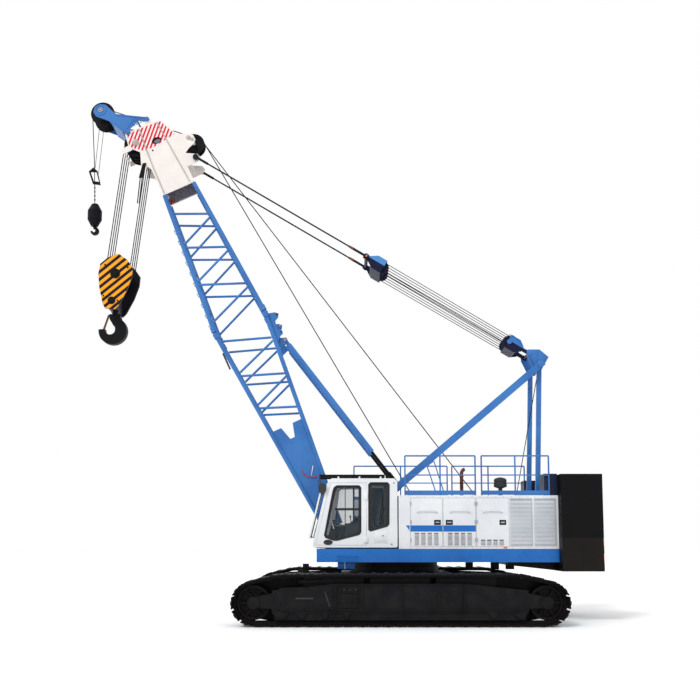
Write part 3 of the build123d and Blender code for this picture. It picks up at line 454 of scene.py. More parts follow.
track_steel = casting("track_steel", (14, 14, 16), (24, 20, 17), (40, 40, 44), metallic=0.1, shine=0.12)
engine_iron = casting("engine_iron", (96, 98, 102), (60, 58, 56), (130, 130, 132))
weight_iron = casting("weight_iron", (7, 7, 9), (12, 12, 14), (18, 18, 21), metallic=0.0, rough=0.5,
                      soil=0.4, shine=0.1)
rusty = casting("rusty_pipe", (120, 62, 38), (70, 38, 26), (150, 92, 60), metallic=0.3, rough=0.75)

# %% [markdown]
# Wire rope is bundles of wires laid in a spiral and soaked in black grease. Each rope's mesh carries
# its own length as an attribute, and bands along it stand for the strands.

# %% Rope, glass and plastics
def wire_rope():
    made = Finish("wire_rope")
    length = made.node("ShaderNodeAttribute", {"attribute_name": "rope_length"}, out="Fac")
    turn = (length * 60 + made.noise(0.02, 2) * 0.3).fraction()
    strand = (turn - 0.5).math("ABSOLUTE") * 2
    base = made.mix(strand, colour(7, 7, 10), colour(22, 24, 29))
    return made.done(Base_Color=base, Roughness=0.45 + strand * 0.15, Metallic=0.2,
                     Normal=made.bump(strand, 0.002), Specular_IOR_Level=0.2)


def plastic(name, tone, grain, rough, depth=0.0006):
    made = Finish(name)
    skin = made.noise(grain, 3)
    base = made.mix(made.noise(0.3, 3) * 0.6, colour(*tone), colour(*[level * 0.7 for level in tone]))
    return made.done(Base_Color=base, Roughness=rough + skin * 0.1, Normal=made.bump(skin, depth))


def window_pane():
    """Tinted glass with a film of dust."""
    made = Finish("window_pane")
    film = made.noise(0.4, 6, stretch=(1, 1, 0.4)).ramp(0.45, 0.8)
    base = made.mix(film * 0.3, colour(60, 78, 88), colour(120, 130, 134))
    return made.done(Base_Color=base, Roughness=0.03 + film * 0.06, Alpha=0.15 + film * 0.06)


rope_steel = wire_rope()
rubber = plastic("black_rubber", (24, 24, 26), 0.004, 0.62)
dark_plastic = plastic("dark_plastic", (34, 35, 38), 0.003, 0.5)
vinyl = plastic("seat_vinyl", (40, 41, 46), 0.006, 0.48, 0.0015)
amber = plastic("amber_lens", (240, 120, 20), 0.01, 0.2)
red_lens = plastic("red_lens", (190, 24, 20), 0.01, 0.2)
bronze = casting("bronze_sleeve", (132, 82, 44), (80, 52, 34), (176, 124, 70), metallic=0.7, rough=0.4)
bright = casting("bright_steel", (170, 172, 176), (120, 120, 122), (210, 212, 216), metallic=0.9,
                 rough=0.28, soil=0.2)
pane = window_pane()

# %% [markdown]
# Warning stripes are cut from two colours of enamel. The stripe is the fraction of a distance along a
# slanted direction, so the edge stays straight over the whole plate.

# %% Warning stripes
def striped(name, first, second, direction, pitch, share=0.5, behind=None, beyond=None):
    """Straight stripes across a direction, with worn edges. Where behind or beyond is given, they show
    only behind that X or farther than that from the middle plane, and the rest is the second colour."""
    made = Finish(name)
    wobble = made.noise(0.05, 4) * 0.008
    band = ((made.along(direction) + wobble) * (1 / pitch)).fraction() < share
    if behind is not None:
        band = band.math("MAXIMUM", made.along((1, 0, 0)) > behind)
    if beyond is not None:
        band = band.math("MAXIMUM", made.along((0, 1, 0)).math("ABSOLUTE") < beyond)
    wear = made.noise(0.06, 8, 0.7).ramp(0.68, 0.72)
    clouds = made.noise(0.5, 5)
    base = made.mix(band, colour(*first), colour(*second))
    base = made.mix(clouds * 0.06, base, colour(120, 100, 80))
    base = made.mix(wear * 0.7, base, colour(70, 60, 54))
    return made.done(Base_Color=base, Roughness=0.42 + wear * 0.3,
                     Normal=made.bump(made.noise(0.012, 2) - wear, 0.001), Specular_IOR_Level=0.12)


hook_stripes = striped("hook_stripes", (246, 158, 28), (12, 12, 26), (0.643, 0, 0.766), 0.16, beyond=0.4385)
head_stripes = striped("head_stripes", (240, 226, 224), (206, 34, 52), (0.95, 0, 0.311), 0.096, 0.54)
rear_stripes = striped("rear_stripes", (226, 120, 40), (8, 8, 10), (0, 0.62, 0.78), 0.3, behind=-4.87)

# %% [markdown]
# The CAD nodes keep their shape and get their paint here, by the slot that the record gives them. A few nodes
# share a slot but not a colour on the real machine, so they are named one by one; the floating and gantry
# blocks are named here too, for their navy painted shade.

# %% Paint the CAD nodes
by_slot = {
    "chassis_black": black, "frame_blue": blue, "panel_white": white, "panel_grey": grey,
    "track_steel": track_steel, "window_glass": pane, "seat_vinyl": vinyl, "dark_plastic": dark_plastic,
    "cast_grey": engine_iron, "rusty_pipe": rusty, "weight_black": weight_iron, "rope_steel": rope_steel,
    "hook_yellow": hook_stripes,
}
special = {
    "track_frame_left": black, "track_frame_right": black, "cab_guard": black, "deck_beams": deck_blue,
    "counterweight_guides": navy, "gantry_block": gantry_shaded_blue, "floating_block": block_shaded_blue,
    "counterweight_base": rear_stripes, "boom_head": ivory,
}
slot_of = {part["node"]: part["material_slot"] for part in frame["record"]["subparts"]}
for name, node in nodes.items():
    node.data.materials.clear()
    node.data.materials.append(special.get(name, by_slot[slot_of[name]]))
print("painted", len(nodes), "nodes")

# %% [markdown]
# The house doors are folded sheet. What makes them read as doors are small things: a bent-rod grip, a
# pressed latch cup with its lever, slotted vents near the sill, and barrel hinges. One function makes
# them for any door, so both sides of the machine get the same care, and each set rides on its door.

# %% House doors
wall, sill = 1.55, 1.8


def door_fittings(body, side, hinge, grip, latch, vents, vent_top=2.1):
    """The fittings of one door: hinge barrels at one edge, a grip, a latch and the vents."""
    def out(depth):
        return side * (wall + depth)

    metal, dark, pale, vent_shade = Piece(), Piece(), Piece(), Piece()
    first, last = grip
    pale.pipe([(first, out(0), 2.585), (first, out(0.03), 2.6), (first + 0.04, out(0.03), 2.625),
               (last - 0.04, out(0.03), 2.625), (last, out(0.03), 2.6), (last, out(0), 2.585)], 0.011, 8)
    for end in grip:
        pale.bar((end, out(0), 2.59), (end, out(0.006), 2.59), 0.022)
    low, high = latch
    dark.box((low, out(0), 2.29), (high, out(0.004), 2.41), 0.0015)
    metal.box((low + 0.03, out(0), 2.335), (high - 0.03, out(0.014), 2.365), 0.004)
    metal.bar((low + 0.045, out(0.004), 2.35), (low + 0.045, out(0.02), 2.35), 0.013)
    for low, high in vents:
        # Painted shade: a dark grey sheet behind each vent's slats stands for the shade in its openings.
        vent_shade.box((low, out(0), sill), (high, out(0.002), vent_top))
        for row in range(int((vent_top - sill) / 0.028)):
            z = 1.804 + row * 0.028
            pale.box((low, out(0), z), (high, out(0.009), z + 0.013), 0.002)
    for z in (1.93, 2.36, 2.8):
        metal.bar((hinge, out(0.01), z - 0.045), (hinge, out(0.01), z + 0.045), 0.011, 10)
    metal.made(body + "_metal", body, grey)
    dark.made(body + "_latch_cup", body, black)
    vent_shade.made(body + "_vents", body, shade_grey, "panel_grey")
    pale.made(body + "_slats", body, white)


def vent_slots(first, pitch=0.155):
    """Four vents side by side, the foremost ending at first."""
    return [(first - index * pitch - 0.105, first - index * pitch) for index in range(4)]


door_fittings("front_door", 1, -0.335, (-0.96, -0.48), (-1.05, -0.89), vent_slots(-0.42))
door_fittings("middle_door", 1, -1.875, (-1.75, -1.27), (-1.34, -1.17), vent_slots(-1.22))
door_fittings("rear_door", 1, -1.925, (-2.52, -2.07), (-2.62, -2.46), vent_slots(-2.01, 0.147), 1.94)
door_fittings("right_front_door", -1, 0.855, (0.12, 0.6), (-0.01, 0.15), vent_slots(0.76))
door_fittings("right_rear_door", -1, -0.975, (-0.75, -0.27), (-0.25, -0.09), vent_slots(-0.24))

for body, outline in (("front_door", [(-1.088, 2.13), (-0.322, 2.13), (-0.322, 2.28), (-1.088, 2.28)]),
                      ("middle_door", [(-1.888, 2.13), (-1.112, 2.13), (-1.112, 2.28), (-1.888, 2.28)]),
                      ("upperworks", [(-0.3, 2.145), (-0.21, 2.28), (-0.3, 2.28)])):
    Piece().plate(outline, (wall, wall + 0.0015)).made(body + "_stripe", body, deck_blue, "frame_blue")
print("door fittings made")

# %% [markdown]
# The house walls are screwed to their frames, and the roof has hatches over the engine and the pumps.
# Screws are tiny, so each is a short six-sided bar: few faces, but enough to catch the light.

# %% Screws and hatches
louvre_slats = Piece()
for low, high in ((-3.225, -2.725), (-3.785, -3.305)):
    for row in range(33):
        z = 1.83 + row * 0.0318
        louvre_slats.box((low, 1.556, z), (high, 1.5655, z + 0.014))
louvre_slats.mirrored().made("louvre_slats", "upperworks", white)
side_lamp = Piece().box((-2.63, 1.545, 1.735), (-2.55, 1.562, 1.775), 0.004)
side_lamp.made("side_lamp", "upperworks", amber, "hook_yellow")

screws = Piece()
for index in range(20):
    x = -0.1 - 0.19 * index
    for z in (1.752, 2.968):
        screws.bars(0.009, 6, ((x, 1.549, z), (x, 1.556, z)), ((x, -1.549, z), (x, -1.556, z)))
screws.made("house_screws", "upperworks", grey)

roof = 3.0
hatches = Piece()
for rear, right, front, left in ((-1.25, 0.98, -0.25, 1.42), (-3.6, 0.98, -2.95, 1.42),
                                 (-3.55, -1.4, -2.3, -0.98), (-2.1, -1.4, -1.2, -0.98),
                                 (-0.7, -1.4, 0.65, -0.98)):
    hatches.box((rear, right, roof), (front, left, 3.03), 0.008)
    for x in (rear + 0.12, front - 0.12):
        grip = ((x - 0.05, 3.03), (x - 0.05, 3.07), (x + 0.05, 3.07), (x + 0.05, 3.03))
        hatches.pipe([(along, right + 0.06, z) for along, z in grip], 0.006, 6)
hatches.made("roof_hatches", "upperworks", white)

# %% [markdown]
# The stack is a rusty pipe with a bent end over a wire-mesh heat guard, and the pre-cleaner beside it
# is a round plastic bowl. Both stand in for plain CAD nodes of the same size. The bend follows a few
# points, and the bowl is half of its outline spun about its axis.

# %% Stack and pre-cleaner
stack_x, stack_y = -1.64, 0.93
stack = Piece()
bend = [(stack_x - 0.09 * (1 - math.cos(turn)), stack_y, 3.56 + 0.12 * math.sin(turn))
        for turn in [math.radians(step * 12) for step in range(8)]]
stack.pipe([(stack_x, stack_y, roof), (stack_x, stack_y, 3.4)] + bend, 0.044, 20)
for z in (3.12, 3.34, 3.5):
    stack.turned([(0.044, -0.012), (0.054, -0.012), (0.054, 0.012), (0.044, 0.012)],
                 (stack_x, stack_y, z), (0, 0, 1), 24)
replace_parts(stack.made("exhaust_stack", "upperworks", rusty), "exhaust")

guard = Piece().box((-1.95, 0.7, roof), (-1.4, 1.16, 3.012))
for x in [-1.94 + index * 0.038 for index in range(15)]:
    guard.bar((x, 0.7, 3.088), (x, 1.16, 3.088), 0.003, 5)
for y in [0.7 + index * 0.038 for index in range(13)]:
    guard.bar((-1.95, y, 3.082), (-1.4, y, 3.082), 0.003, 5)
for x in (-1.95, -1.41):
    for y in (0.705, 1.145):
        guard.box((x, y, roof), (x + 0.012, y + 0.012, 3.09))
guard.made("exhaust_mesh", "upperworks", black)

bowl_x, bowl_y = -2.6, 0.93
bowl = Piece().turned([(0.0, 0.0), (0.05, 0.0), (0.05, 0.2), (0.07, 0.21), (0.155, 0.24), (0.158, 0.3),
                       (0.15, 0.36), (0.158, 0.37), (0.158, 0.42), (0.12, 0.455), (0.05, 0.475),
                       (0.02, 0.48), (0.0, 0.48)], (bowl_x, bowl_y, roof), (0, 0, 1), 40)
for angle in [index * math.tau / 20 for index in range(20)]:
    x, y = bowl_x + 0.157 * math.cos(angle), bowl_y + 0.157 * math.sin(angle)
    bowl.box((x - 0.004, y - 0.004, 3.25), (x + 0.004, y + 0.004, 3.35))
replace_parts(bowl.made("pre_cleaner", "upperworks", dark_plastic), "air_cleaner")
print("roof fitted out")

# %% [markdown]
# The cab's glass sits in rubber. A seal is a thin pipe that follows the window's corners, half sunk in
# the wall. The windscreen leans, so its seal, wiper and stone guard are drawn in its own frame.

# %% Cab windows
def corners(outline, y):
    """The outline's corners at y, closed, each cut once so that the seal bends round it."""
    points = []
    for before, here, after in zip(outline[-1:] + outline[:-1], outline, outline[1:] + outline[:1]):
        here = Vector((here[0], y, here[1]))
        for other in (before, after):
            way = Vector((other[0], y, other[1])) - here
            points.append(here + way.normalized() * 0.045)
    return points + [points[0].lerp(points[-1], 0.002)]


def ring(piece, outline, width, y):
    """A flat band inside an outline, from y[0] to y[1], like the printed border of a window."""
    middle = (sum(x for x, z in outline) / len(outline), sum(z for x, z in outline) / len(outline))
    inner = []
    for x, z in outline:
        way = Vector((middle[0] - x, middle[1] - z))
        inner.append((x + way.x / abs(way.x or 1) * width, z + way.y / abs(way.y or 1) * width))
    count = len(outline)
    for index in range(count):
        after = (index + 1) % count
        piece.plate([outline[index], outline[after], inner[after], inner[index]], y)


side_glass = [(0.195, 2.27), (0.68, 2.13), (0.68, 3.305), (0.185, 3.305)]
right_glass = [(0.29, 2.3), (1.52, 2.3), (1.4, 3.2), (0.29, 3.2)]
door_glass = [(0.87, 2.07), (1.48, 1.91), (1.75, 2.00), (1.54, 3.11), (1.49, 3.23), (0.87, 3.23)]
seals = Piece().pipe(corners(side_glass, 1.546), 0.016, 8)
seals.pipe(corners(right_glass, 0.794), 0.014, 8)
rear_glass = ((0.91, 2.45), (1.43, 2.45), (1.43, 3.25), (0.91, 3.25), (0.91, 2.45))
seals.pipe([(-0.006, y, z) for y, z in rear_glass], 0.014, 8)
seals.made("cab_window_seals", "upperworks", rubber, "dark_plastic")
Piece().pipe(corners(door_glass, 1.546), 0.016, 8).made("cab_door_seal", "cab_door", rubber, "dark_plastic")
for name, body, glass, width, y in (("side_window_border", "upperworks", side_glass, 0.075, (1.529, 1.531)),
                                    ("door_window_border", "cab_door", door_glass, 0.055, (1.535, 1.537))):
    border = Piece()
    ring(border, glass, width, y)
    border.made(name, body, rubber, "dark_plastic")

lining_boards = Piece()
lining_boards.boxes(0.001, ((0.052, 0.852, 1.8), (0.056, 1.488, 2.43)),
                    ((0.052, 0.852, 1.8), (1.6, 0.856, 2.28)), ((0.052, 0.852, 3.336), (1.6, 1.488, 3.342)))
lining_boards.boxes(0.01, ((0.06, 1.16, 2.43), (0.3, 1.46, 3.3)), ((0.06, 0.9, 2.6), (0.26, 1.1, 3.3)))
for rear, low, front, high in ((0.3, 2.28, 0.6, 3.22), (1.02, 1.8, 1.06, 3.3), (1.24, 2.28, 1.26, 3.2),
                               (0.06, 2.66, 1.5, 2.72)):
    lining_boards.box((rear, 0.852, low), (front, 0.87, high), 0.004)
lining_boards.made("cab_lining", "upperworks", dark_plastic)
grab = Piece().pipe([(1.52, 1.4, 2.2), (1.6, 1.42, 2.45), (1.58, 1.42, 2.75), (1.48, 1.4, 2.98)], 0.014, 10)
grab.made("cab_grab_bar", "upperworks", white)

screen, screen_length = between((2.02, 1.87), (1.68, 3.3))
front_seal = Piece(screen)
high = screen_length - 0.06
rim = ((0.11, 0.87), (high, 0.87), (high, 1.47), (0.11, 1.47), (0.11, 0.87))
front_seal.pipe([(x, y, 0.004) for x, y in rim], 0.014, 8)
front_seal.pipe([(0.14, 1.3, -0.01), (0.16, 1.28, -0.03), (0.75, 1.12, -0.012)], 0.008, 6)
front_seal.box((0.5, 1.1, -0.012), (1.05, 1.115, -0.002))
front_seal.made("windscreen_seal_and_wiper", "upperworks", rubber, "dark_plastic")

bars = Piece(screen)
for index in range(7):
    y = 0.87 + index * 0.1
    bars.bar((0.1, y, -0.1), (high, y, -0.1), 0.007, 8)
for x in (0.1, 0.45, 0.8, 1.15, high):
    bars.bar((x, 0.86, -0.1), (x, 1.48, -0.1), 0.009, 8)
for x in (0.12, high - 0.02):
    for y in (0.87, 1.47):
        bars.bar((x, y, -0.1), (x, y, 0.005), 0.01, 8)
bars.made("windscreen_guard", "upperworks", black)
frame_bars = Piece(screen)
for y in (0.845, 1.475):
    frame_bars.box((0.08, y, -0.125), (high + 0.02, y + 0.022, -0.085), 0.004)
frame_bars.made("windscreen_guard_frame", "upperworks", white)
print("cab glazed")

# %% [markdown]
# The cab door has a black oval handle cup and two white hinges, and below the rear window a pressed
# hatch covers the washer bottle. The mirror hangs on a bent arm from the roof guard.

# %% Cab fittings
cup = Piece().turned([(0.0, 0.004), (0.05, 0.004), (0.085, 0.01), (0.105, 0.014), (0.112, 0.006),
                      (0.112, -0.004)], (0, 0, 0))
bmesh.ops.scale(cup.bm, vec=(1.0, 1.0, 0.55), verts=cup.bm.verts[:])
bmesh.ops.translate(cup.bm, vec=(1.655, 1.55, 1.875), verts=cup.bm.verts[:])
cup.box((1.6, 1.553, 1.862), (1.71, 1.572, 1.888), 0.006)
cup.made("cab_door_handle", "cab_door", dark_plastic)

trim = Piece()
for z in (1.93, 2.96):
    trim.box((0.7, 1.548, z - 0.07), (0.8, 1.572, z + 0.07), 0.008)
    trim.bar((0.734, 1.572, z - 0.06), (0.734, 1.572, z + 0.06), 0.014, 12)
trim.boxes(0.004, ((0.24, 1.549, 1.86), (0.55, 1.558, 2.14)), ((0.28, 1.556, 1.9), (0.51, 1.564, 2.1)))
for x in (0.39, 0.9, 1.41):
    trim.box((x - 0.02, 1.49, 3.4), (x + 0.02, 1.53, 3.455), 0.004)
trim.made("cab_trim", "upperworks", white)

plugs = Piece()
for x, z, out in ((0.07, 3.3, 1.556), (0.13, 1.83, 1.556), (0.34, 2.03, 1.566)):
    plugs.bar((x, 1.548, z), (x, out, z), 0.016)
plugs.box((0.0, 1.5495, 1.735), (1.93, 1.5525, 1.752))
plugs.pipe([(1.86, 1.48, 3.45), (1.86, 1.58, 3.42), (1.83, 1.6, 3.28)], 0.011, 10)
plugs.plate(oval(1.795, 3.16, 0.095, 0.135), (1.575, 1.62), 0.01)
plugs.pipe([(1.86, 1.1, 3.47), (1.9, 1.05, 3.4), (1.9, 1.05, 3.3)], 0.008, 8)
plugs.box((1.86, 0.98, 3.2), (1.91, 1.12, 3.3), 0.015)
plugs.made("cab_plugs_and_mirrors", "upperworks", dark_plastic)
mirror_glass = Piece().box((1.697, 1.584, 3.05), (1.7, 1.616, 3.27))
mirror_glass.made("mirror_glass", "upperworks", bright, "track_steel")

# %% [markdown]
# Through the glass one sees the seat. It is foam under vinyl, so it can't be a plain box: a cushion is
# a cube cut fine, its faces crowned and its sides pulled in, with channels pressed across it and
# piping round the edge. A bit of subdivision makes the skin smooth.

# %% Driver's seat
def cushion(name, low, high, thick, crown=0.035, channels=2, lean=0.0):
    """A crowned pad between two corners. thick names the axis of its thickness."""
    low, high = Vector(low), Vector(high)
    middle, half = (low + high) / 2, (high - low) / 2
    piece = Piece()
    bm = piece.bm
    bmesh.ops.create_cube(bm, size=2)
    bmesh.ops.subdivide_edges(bm, edges=bm.edges[:], cuts=14, use_grid_fill=True)
    wide = [axis for axis in (0, 1, 2) if axis != thick]
    for vert in bm.verts:
        u, v, w = vert.co[wide[0]], vert.co[wide[1]], vert.co[thick]
        swell = (1 - u ** 4) * (1 - v ** 4)
        groove = 0.25 * max(0.0, 1 - abs((u * (channels + 1) / 2 + 0.5 * (channels % 2)) % 1 - 0.5) / 0.07)
        pull = 1 - 0.05 * (1 - w * w) * (abs(u) > 0.9 or abs(v) > 0.9)
        co = vert.co.copy()
        co[thick] = w * (half[thick] + crown * (swell - 1) * (1.0 + groove * swell)) / half[thick]
        co[wide[0]], co[wide[1]] = u * pull, v * pull
        vert.co = Vector([co[axis] * half[axis] for axis in range(3)])
    place = Matrix.Translation(middle) @ Matrix.Rotation(lean, 4, "Y")
    bmesh.ops.transform(bm, matrix=place, verts=bm.verts[:])
    made = piece.made(name, "upperworks", vinyl, smooth=60)
    made.modifiers.new("smooth_skin", "SUBSURF").levels = 1
    made.modifiers["smooth_skin"].render_levels = 1
    return made


seat_y = (1.17 - 0.2, 1.17 + 0.2)
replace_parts(cushion("seat_cushion", (0.44, seat_y[0], 2.135), (0.95, seat_y[1], 2.265), 2), "cab_seat")
cushion("seat_back", (0.37, seat_y[0], 2.27), (0.49, seat_y[1], 2.8), 0, lean=math.radians(-8))
cushion("seat_headrest", (0.33, 1.06, 2.81), (0.43, 1.28, 2.92), 0, 0.02, 0, math.radians(-8))
stand = Piece().box((0.5, 1.03, 1.8), (0.86, 1.31, 1.84), 0.006)
stand.box((0.56, 1.07, 1.84), (0.8, 1.27, 2.11), 0.012)
stand.box((0.46, 0.99, 2.1), (0.92, 1.35, 2.135), 0.008)
for y in (0.945, 1.375):
    stand.box((0.52, y, 2.36), (0.82, y + 0.03, 2.4), 0.01)
    stand.bar((0.56, y + 0.015, 2.12), (0.56, y + 0.015, 2.37), 0.01, 8)
knob = [(0.0, -0.03), (0.016, -0.02), (0.02, 0.0), (0.014, 0.03), (0.0, 0.035)]
for y in (0.9, 1.44):
    for x in (0.98, 1.1):
        stand.bar((x, y, 2.33), (x + 0.02, y, 2.47), 0.007, 8)
        stand.turned(knob, (x + 0.022, y, 2.49), (0, 0, 1), 12)
stand.box((1.44, 0.93, 2.43), (1.47, 1.15, 2.58), 0.006)
stand.boxes(0.01, ((1.56, 1.05, 1.81), (1.66, 1.13, 1.9)), ((1.56, 1.22, 1.81), (1.66, 1.3, 1.9)))
stand.made("seat_stand_and_levers", "upperworks", dark_plastic)
print("cab furnished")

# %% [markdown]
# The outer side of the crawler frame carries covers, ribs and bolts, and rock guards hang below it.
# Each piece is mirrored for the other crawler.

# %% Crawler frames
side = 2.76  # the outer face of a crawler frame
covers = Piece()
covers.plate([(1.52, 0.33), (2.78, 0.33), (2.86, 0.6), (2.7, 0.86), (1.52, 0.9)],
             (side, side + 0.01), 0.003)
for x in (1.44, 0.86, -0.05, -1.44):
    covers.box((x - 0.018, side, 0.31), (x + 0.018, side + 0.035, 0.93), 0.005)
covers.box((0.95, side, 0.41), (1.33, side + 0.022, 0.72), 0.01)
covers.box((0.93, side, 0.74), (1.33, side + 0.012, 0.9), 0.004)
covers.box((1.75, 2.36, 0.95), (2.3, 2.64, 1.035), 0.012)
covers.mirrored().made("crawler_covers", "undercarriage", black)

webs = Piece()
wheel_x, wheel_z, reach = 3.298, 0.585, 0.445
turns = [step * math.pi / 10 for step in range(11)]
arc = [(reach * math.sin(turn), reach * math.cos(turn)) for turn in turns]
webs.plate([(wheel_x + x, wheel_z + z) for x, z in arc] + [(2.9, 0.075), (-2.9, 0.075)] +
           [(-wheel_x - x, wheel_z - z) for x, z in arc] + [(-1.44, 1.1), (1.44, 1.1)], (2.222, 2.236))
webs.mirrored().made("crawler_webs", "undercarriage", black)

recesses = Piece().box((1.95, side + 0.01, 0.605), (2.35, side + 0.016, 0.64), 0.002)
recesses.bar((1.58, side + 0.008, 0.44), (1.7, side + 0.014, 0.78), 0.016, 8)
recesses.mirrored().made("crawler_handles", "undercarriage", dark_plastic)

guards = Piece()
for low, high in ((2.5, 2.88), (2.1, 2.34), (1.6, 1.78), (1.14, 1.28), (-2.2, -1.98), (-2.86, -2.52)):
    width = high - low
    guards.plate([(low, 0.3), (high, 0.3), (high - width * 0.35, 0.16), (low + width * 0.25, 0.16)],
                 (side - 0.05, side + 0.004), 0.004)
guards.mirrored().made("rock_guards", "undercarriage", black, "rusty_pipe")

fasteners = Piece()
for x in (1.00, 1.13, 1.26):
    fasteners.bar((x, side + 0.01, 0.82), (x, side + 0.04, 0.82), 0.026, 6)
for x, z in ((1.58, 0.37), (2.72, 0.37), (2.78, 0.6), (2.66, 0.82), (1.58, 0.85), (2.15, 0.37), (2.15, 0.86)):
    fasteners.bar((x, side + 0.008, z), (x, side + 0.026, z), 0.018, 6)
for step in range(18):
    x = -2.5 + step * 0.295
    fasteners.bar((x, side - 0.01, 0.345), (x, side + 0.016, 0.345), 0.013, 6)
fasteners.mirrored().made("crawler_bolts", "undercarriage", black, "track_steel")
brass = Piece()
for x in (1.00, 1.13, 1.26):
    brass.bar((x, side + 0.04, 0.82), (x, side + 0.046, 0.82), 0.014, 8)
brass.mirrored().made("crawler_greasers", "undercarriage", bronze, "track_steel")

hubs = Piece()
for name in ("drive_wheels", "idler_wheels"):
    box = [nodes[name].matrix_world @ Vector(corner) for corner in nodes[name].bound_box]
    x, z = sum(corner.x for corner in box) / 8, sum(corner.z for corner in box) / 8
    for turn in range(10):
        angle = turn * math.tau / 10
        px, pz = x + 0.19 * math.cos(angle), z + 0.19 * math.sin(angle)
        hubs.bar((px, side - 0.01, pz), (px, side + 0.012, pz), 0.018, 6)
    hubs.turned([(0.0, 0.028), (0.05, 0.026), (0.075, 0.016), (0.085, 0.0), (0.085, -0.02)],
                (x, side, z), steps=24)
hubs.mirrored().made("hub_bolts", "undercarriage", black, "track_steel")
print("crawlers fitted")

# %% [markdown]
# Below the deck hang posts and a step with its handle bars. They are part of the upperworks, so they
# keep clear of the crawlers when the machine slews. The box on the far crawler stays where it is.

# %% Under the deck
posts = Piece()
for low, high in ((-1.89, -1.72), (-2.53, -2.34), (-2.9, -2.71)):
    posts.box((low, 0.82, 1.215), (high, 0.98, 1.4), 0.006)
posts.made("deck_posts", "upperworks", black)

steps = Piece().box((1.01, 1.22, 1.24), (1.43, 1.4, 1.4), 0.01)
for z in (1.45, 1.55):
    steps.pipe([(0.96, 1.55, z), (0.96, 1.6, z), (1.44, 1.6, z), (1.44, 1.55, z)], 0.012, 8)
steps.made("deck_step", "upperworks", deck_blue, "frame_blue")
rod = Piece().bar((1.25, 1.41, 1.24), (1.25, 1.41, 1.5), 0.012, 10)
rod.made("deck_rod", "upperworks", white)

step_box = Piece().box((2.27, -2.02, 0.93), (2.58, -1.84, 1.12), 0.008)
step_box.box((2.27, -1.98, 1.12), (2.44, -1.88, 1.28), 0.008)
step_box.box((2.3, -2.26, 0.9), (2.55, -1.9, 0.95), 0.006)
step_box.made("crawler_box", "undercarriage", black)
print("deck fitted")

# %% [markdown]
# The boom's head is dressed in warning stripes: a thin skin on the outside of each cheek, with ribs, a
# lightening hole and the caps of the sheave shafts over it. The hole is painted shade, a black oval round a
# grey one for the shaded far cheek seen through it, and a grey sheet on the far cheek's inner face is painted
# shade as well.

# %% Boom head
skin = Piece(boom)
skin.plate([(0.655, 11.88), (0.3, 11.9), (-0.29, 11.86), (-0.5, 11.38), (0.18, 11.27), (0.47, 11.32),
            (0.56, 11.4), (0.66, 11.47), (0.73, 11.58)], (0.4, 0.4015))
skin.mirrored().made("head_stripes", "boom", head_stripes, "panel_white")

ribs = Piece(boom)
for start, end in (((0.3, 11.88), (0.35, 11.38)), ((0.35, 11.38), (0.385, 10.73)),
                   ((-0.2, 11.86), (-0.24, 11.25)), ((-0.24, 11.25), (-0.34, 10.0)),
                   ((0.385, 10.73), (0.4, 10.0))):
    way = Vector((end[0] - start[0], 0, end[1] - start[1])).normalized() * 0.012
    ribs.plate([(start[0] + way.z, start[1] - way.x), (end[0] + way.z, end[1] - way.x),
                (end[0] - way.z, end[1] + way.x), (start[0] - way.z, start[1] + way.x)], (0.398, 0.418))
ribs.mirrored().made("head_ribs", "boom", seam, "panel_white")

# Painted shade: black discs stand for the shade inside the lightening hole and a small round hole.
hole = Piece(boom).plate(oval(0.01, 11.41, 0.13, 0.09), (0.4012, 0.4035))
hole.bar((0.21, 0.4, 11.2), (0.21, 0.405, 11.2), 0.022, 16)
hole.mirrored().made("head_hole_shade", "boom", black)

# Painted shade: a grey oval for the shaded far cheek seen through the hole, and a grey sheet on the far cheek's
# inner face.
shade_plates = Piece(boom).plate(oval(0.0, 11.385, 0.09, 0.05), (0.403, 0.4045))
shade_plates.box((-0.4, -0.372, 9.975), (0.4, -0.369, 10.7))
shade_plates.made("head_far_cheek_shade", "boom", shade_grey, "panel_grey")

caps = Piece(boom)
for (n, s), y, profile in (
        (head_shaft, 0.418, [(0.0, 0.03), (0.06, 0.028), (0.085, 0.016), (0.09, 0.0), (0.09, -0.014)]),
        (tip_shaft, 0.445, [(0.0, 0.016), (0.05, 0.014), (0.062, 0.0), (0.062, -0.01)]),
        (guide_shaft, 0.4, [(0.0, 0.02), (0.04, 0.016), (0.05, 0.0), (0.05, -0.01)]),
        ((-0.79, 11.13), 0.4, [(0.0, 0.028), (0.04, 0.026), (0.06, 0.012), (0.06, -0.01)]),
        (pendant_pin, 0.42, [(0.04, 0.02), (0.075, 0.018), (0.085, -0.01)])):
    caps.turned(profile, (n, y, s))
caps.mirrored().made("shaft_caps", "boom", seam, "panel_white")
jib_rings = Piece(boom)
jib_rings.turned([(0.115, 0.012), (0.15, 0.012), (0.155, -0.004), (0.11, -0.004), (0.115, 0.012)],
                 (tip_shaft[0], 0.43, tip_shaft[1]))
jib_rings.bars(0.02, 10, ((0.7, 0.428, 12.5), (0.05, 0.428, 12.11)),
               ((0.92, 0.428, 12.4), (0.68, 0.428, 11.95)))
jib_rings.bar((0.28, 0.428, 12.22), (0.6, 0.428, 12.02), 0.016, 10)
jib_rings.mirrored().made("jib_tubes", "boom", blue)

lattice = Piece(boom)
for x, top, low in ((0.4, 12.13, 12.01), (0.3, 12.13, 12.01), (0.18, 12.17, 12.04)):
    lattice.bar((x, 0.434, top), (x, 0.434, low), 0.01, 8)
lattice.bars(0.008, 8, ((0.15, 0.434, 12.16), (0.43, 0.434, 12.14)),
             ((0.15, 0.434, 12.03), (0.43, 0.434, 12.02)))
lattice.mirrored().made("jib_bars", "boom", blue)

